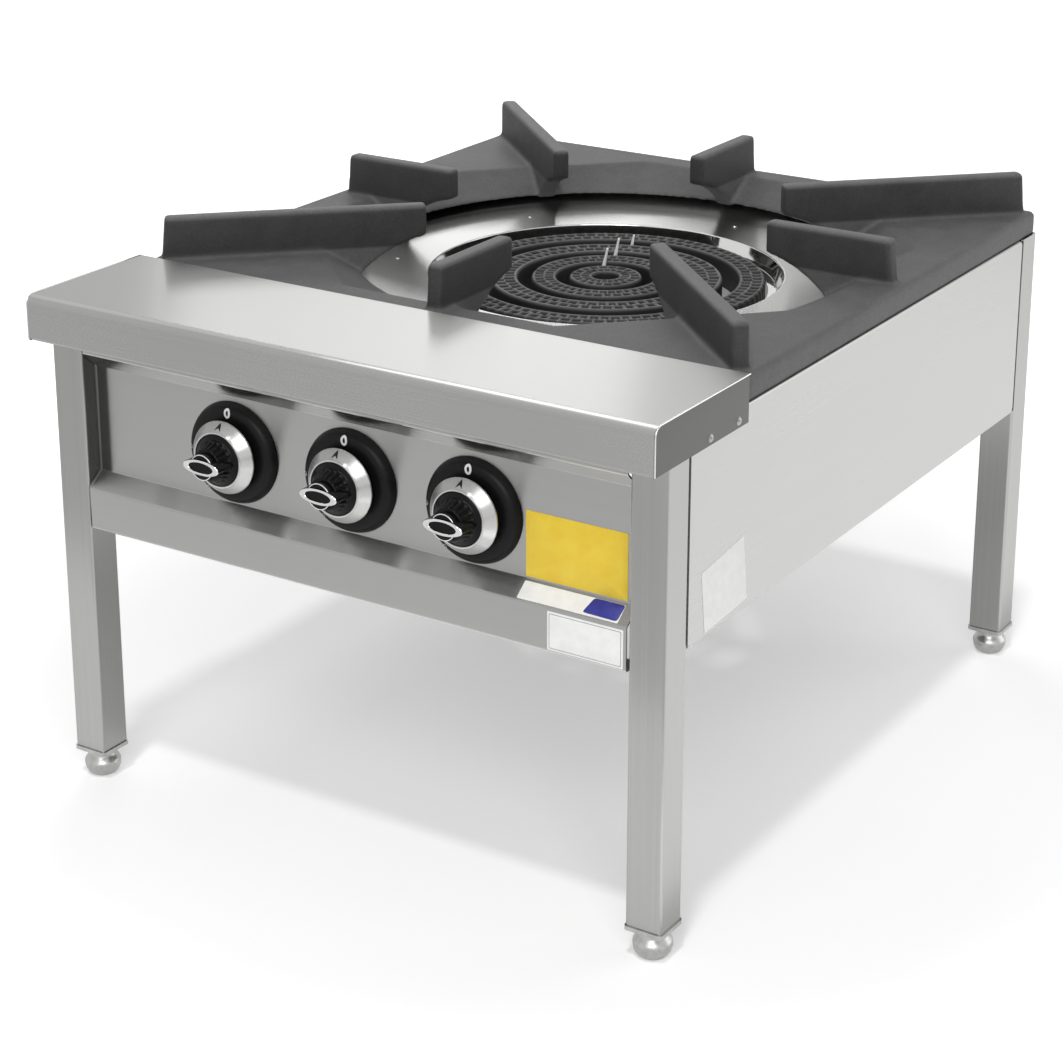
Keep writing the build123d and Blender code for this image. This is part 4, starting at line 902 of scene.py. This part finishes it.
# %% Turned feet
LEG_X = 282.5
FOOT_FRONT_Y = -330.0
FOOT_REAR_Y = 333.0
fall = np.linspace(0.0, np.pi / 2, 14)
bulb_low = np.stack([8.0 + 8.0 * np.sin(fall), 12.0 - 12.0 * np.cos(fall)], axis=-1)
rise = np.linspace(0.0, np.pi, 16)[1:]
bulb_high = np.stack([13.75 + 2.25 * np.cos(rise), 12.0 + 9.0 * rise / np.pi], axis=-1)
thread_z = np.arange(25.0, 69.0, 0.75)
thread = np.stack([np.where(np.arange(thread_z.size) % 2, 4.9, 4.4), thread_z], axis=-1)
foot = np.concatenate([[(0.0, 0.0)], bulb_low, bulb_high, [(11.5, 24.5), (11.0, 24.9), (4.4, 24.9)], thread,
                       [(3.5, 69.9), (0.0, 69.9)]])
for side, foot_x in (("left", -LEG_X), ("right", LEG_X)):
    for end, foot_y in (("front", FOOT_FRONT_Y), ("rear", FOOT_REAR_Y)):
        name = f"foot_{end}_{side}"
        grid = turned(foot, (foot_x, foot_y, 0.0), steps=64)
        make_piece(name + "_turned", [(grid, True, False, satin_plate)], name, [name], sharp=45.0)

# %% [markdown]
# ## Plates
# Small blank films sit on the front and the side: a yellow one on the panel, a white strip with a blue end
# on the ledge below it, a white one with a thin grey line on the rail, and one on the right side. Each is a
# thin solid with round corners, so its edge catches the light as a real film's does.


# %% Blank plates
def rounded(corners, round_mm):
    """Outline that runs round four corners and cuts each by a parabola."""
    corners = np.asarray(corners, float)
    return np.vstack([round_corner(corners[i - 1], corners[i], corners[(i + 1) % 4], round_mm)
                      for i in range(4)])


def film(name, layers):
    """Stack of thin plates: a layer has four corners, a thickness vector, a material and a corner size."""
    parts = [(pad(rounded(corners, size), np.asarray(lift), 0.3), True, False, material)
             for corners, lift, material, size in layers]
    return make_piece(name, parts, "frame", sharp=30.0)


def on_panel(y, left, right, bottom, top, inset=0.0):
    """Corners of an upright rectangle that faces forward."""
    left, right, bottom, top = left + inset, right - inset, bottom + inset, top - inset
    return np.array([(left, y, bottom), (right, y, bottom), (right, y, top), (left, y, top)])


LEDGE_Z = 290.5
LEDGE_RUN = 16.5
LEDGE_FALL = 12.5


def on_ledge(places, rise):
    """Points (x, share of the slope) on the ledge below the panel, lifted off it at right angles."""
    x, share = np.array(places, float).T
    return np.stack([x, PANEL_Y - LEDGE_RUN * share - 0.6 * rise,
                     LEDGE_Z - LEDGE_FALL * share + 0.8 * rise], axis=-1)


SIDE_X = 298.52
RAIL_Y = PANEL_Y - LEDGE_RUN
RAIL_PLATE = (195.0, 262.0, 244.0, 276.0)
front = np.array([0.0, -0.3, 0.0])
slope = np.array([0.0, -0.18, 0.24])
film("plate_yellow", [(on_panel(PANEL_Y - 0.02, 165.5, 256.0, 292.0, 346.5), front, yellow_film, 1.0)])
film("plate_ledge", [
    (on_ledge([(166.0, 0.12), (256.0, 0.12), (256.0, 0.9), (166.0, 0.9)], 0.02), slope, pale_film, 1.0),
    (on_ledge([(228.5, 0.13), (255.8, 0.13), (254.6, 0.83), (224.0, 0.8)], 0.25), slope, blue_film, 2.5),
])
film("plate_rail", [
    (on_panel(RAIL_Y - 0.02, *RAIL_PLATE), front, pale_film, 1.0),
    (on_panel(RAIL_Y - 0.27, *RAIL_PLATE, 1.6), 0.4 * front, grey_film, 0.8),
    (on_panel(RAIL_Y - 0.34, *RAIL_PLATE, 2.2), 0.4 * front, pale_film, 0.6),
])
side_corners = np.array([(SIDE_X, -293.5, 311.0), (SIDE_X, -287.0, 260.0), (SIDE_X, -219.0, 264.0),
                         (SIDE_X, -227.0, 319.0)])
film("plate_side", [(side_corners, np.array([0.3, 0.0, 0.0]), dull_film, 2.0)])

# %% [markdown]
# A thin dark grey film lies along each upright joint between a side panel and a leg, so that from a
# distance it reads as a dark seam. It is painted shade for the narrow gap of the joint, and a thin film
# here because the solids hold nothing in the gap.

# %% Seams with painted shade
SEAM_FOOT_Z = 258.0
SEAMS = ((-314.9, -312.9, 411.0), (315.9, 317.9, 425.0))
for side, seam_x, lift in (("left", -SIDE_X, -0.1), ("right", SIDE_X, 0.1)):
    layers = []
    for near_y, far_y, seam_top in SEAMS:
        corners = np.array([(seam_x, near_y, SEAM_FOOT_Z), (seam_x, far_y, SEAM_FOOT_Z),
                            (seam_x, far_y, seam_top), (seam_x, near_y, seam_top)])
        if lift < 0:
            corners = corners[::-1]
        layers.append((corners, np.array([lift, 0.0, 0.0]), seam_shade, 0.3))
    film(f"seams_{side}", layers)

# %% [markdown]
# ## Floor, light and camera
# The floor is pale and stays white for the camera. More light would also bleach the stove, so a glow that
# only camera rays see does it, and grows away from the stove to keep the shadow's depth. Mirrored rays see
# a weaker glow, which is strongest under the stove: there it paints light into the shadow that the steel
# mirrors. Both ranges are metres from the middle, then strengths. The world is white for both kinds of rays
# and adds a soft, even fill.

# %% Floor and world
FLOOR_HALF = 9.0
WORLD_FILL = 0.26
CAMERA_GLOW = {1: 0.5, 2: 0.95, 3: 0.36, 4: 0.64}
# Painted light: mirrored rays see more glow under the stove than further out.
MIRROR_GLOW = {1: 0.3, 2: 0.8, 3: 0.34, 4: 0.24}
floor_mesh = bpy.data.meshes.new("floor")
floor_corners = [(-FLOOR_HALF, -FLOOR_HALF, 0), (FLOOR_HALF, -FLOOR_HALF, 0), (FLOOR_HALF, FLOOR_HALF, 0),
                 (-FLOOR_HALF, FLOOR_HALF, 0)]
floor_mesh.from_pydata(floor_corners, [], [(0, 1, 2, 3)])
floor = put("floor", floor_mesh)
floor_paint, tree, shader = start_material("pale studio floor", Roughness=0.9, Specular_IOR_Level=0.0)
ray = add(tree, "ShaderNodeLightPath")
place = add(tree, "ShaderNodeTexCoord")
reach = add(tree, "ShaderNodeVectorMath", {0: place.outputs["Object"]}, operation="LENGTH")
white = add(tree, "ShaderNodeMapRange", {0: reach.outputs["Value"], **CAMERA_GLOW})
glow = add(tree, "ShaderNodeMath", {0: ray.outputs["Is Camera Ray"], 1: white.outputs[0]},
           operation="MULTIPLY")
near = add(tree, "ShaderNodeMapRange", {0: reach.outputs["Value"], **MIRROR_GLOW})
shine = add(tree, "ShaderNodeMath", {0: ray.outputs["Is Glossy Ray"], 1: near.outputs[0]},
            operation="MULTIPLY")
glow = add(tree, "ShaderNodeMath", {0: glow.outputs[0], 1: shine.outputs[0]}, operation="ADD")
shader.inputs["Base Color"].default_value = (0.8, 0.8, 0.8, 1.0)
shader.inputs["Emission Color"].default_value = (1.0, 1.0, 1.0, 1.0)
tree.links.new(glow.outputs[0], shader.inputs["Emission Strength"])
floor_mesh.materials.append(floor_paint)

world = bpy.data.worlds.new("studio")
bpy.context.scene.world = world
world.use_nodes = True
tree = world.node_tree
tree.nodes.clear()
ray = add(tree, "ShaderNodeLightPath")
mirrored = add(tree, "ShaderNodeMath", {0: ray.outputs["Is Glossy Ray"],
                                        1: ray.outputs["Is Transmission Ray"]}, operation="MAXIMUM")
seen = add(tree, "ShaderNodeMath", {0: ray.outputs["Is Camera Ray"], 1: mirrored.outputs[0]},
           operation="MAXIMUM")
strength = add(tree, "ShaderNodeMath", {0: seen.outputs[0], 1: WORLD_FILL}, operation="MAXIMUM")
sky = add(tree, "ShaderNodeBackground", {"Color": (1.0, 1.0, 1.0, 1.0), "Strength": strength.outputs[0]})
add(tree, "ShaderNodeOutputWorld", {"Surface": sky.outputs[0]})
print("floor and world ready")

# %% [markdown]
# An almost overhead sun draws the short shadow under the stove. Large soft panels give the steel something
# to mirror: one behind on the left for the shelf, one on the right for the side, one above, one in front,
# and two boards on the floor that light the stove from below.


# %% Lights
def aimed(right, up, back, place):
    """Matrix of an object whose own axes point right, up and back, at a place."""
    return Matrix(np.vstack([np.column_stack([right, up, back, place]), [0, 0, 0, 1]]).tolist())


def soft_panel(name, place, target, width, height, radiance):
    """Area light that faces a target; its power is radiance times area times pi."""
    lamp = bpy.data.lights.new(name, "AREA")
    lamp.shape = "RECTANGLE"
    lamp.size = width
    lamp.size_y = height
    lamp.energy = radiance * width * height * np.pi
    panel = put(name, lamp)
    back = np.array(place, float) - np.array(target, float)
    back = back / np.linalg.norm(back)
    right = np.cross([0.0, 0.0, 1.0], back)
    right = right / np.linalg.norm(right)
    panel.matrix_world = aimed(right, np.cross(back, right), back, place)
    panel.visible_camera = False
    return panel


sun = bpy.data.lights.new("overhead", "SUN")
sun.energy = 0.8
sun.angle = np.radians(5.0)
overhead = put("overhead", sun)
overhead.rotation_euler = (0.32, 0.1, 0.0)
soft_panel("top panel", (-1.15, 0.7, 2.8), (-1.15, 0.701, 0.0), 1.1, 1.7, 1.8)
soft_panel("back left panel", (-1.64, 2.02, 1.40), (0.0, -0.3, 0.45), 0.95, 0.45, 4.1)
soft_panel("right panel", (2.6, 2.4, 1.0), (0.2, 0.2, 0.2), 2.2, 1.8, 1.55)
soft_panel("right board", (0.95, 0.75, 0.005), (0.95, 0.7501, 1.0), 1.2, 2.6, 0.6)
soft_panel("front board", (-0.15, -0.56, 0.005), (-0.15, -0.5599, 1.0), 1.4, 0.36, 0.35)
soft_panel("front panel", (1.5, -2.8, 2.4), (0.0, 0.0, 0.3), 2.4, 1.6, 4.4)

# %% [markdown]
# The upright edges hardly converge in the picture, so the camera looks down less than its height suggests
# and a small vertical shift brings the stove back into the frame.

# %% Camera
AZIMUTH = 0.56893
ELEVATION = 0.31353
CAMERA_PLACE = [1.1403, -1.84645, 1.06655]
back = np.array([np.sin(AZIMUTH) * np.cos(ELEVATION), -np.cos(AZIMUTH) * np.cos(ELEVATION),
                 np.sin(ELEVATION)])
right = np.array([np.cos(AZIMUTH), np.sin(AZIMUTH), 0.0])
lens_data = bpy.data.cameras.new("camera")
lens_data.sensor_width = 36.0
lens_data.lens = 86.244
lens_data.shift_y = -0.18
camera = put("camera", lens_data)
camera.matrix_world = aimed(right, np.cross(back, right), back, CAMERA_PLACE)
bpy.context.scene.camera = camera
bpy.context.scene.view_settings.view_transform = "Standard"
print("camera at", CAMERA_PLACE)
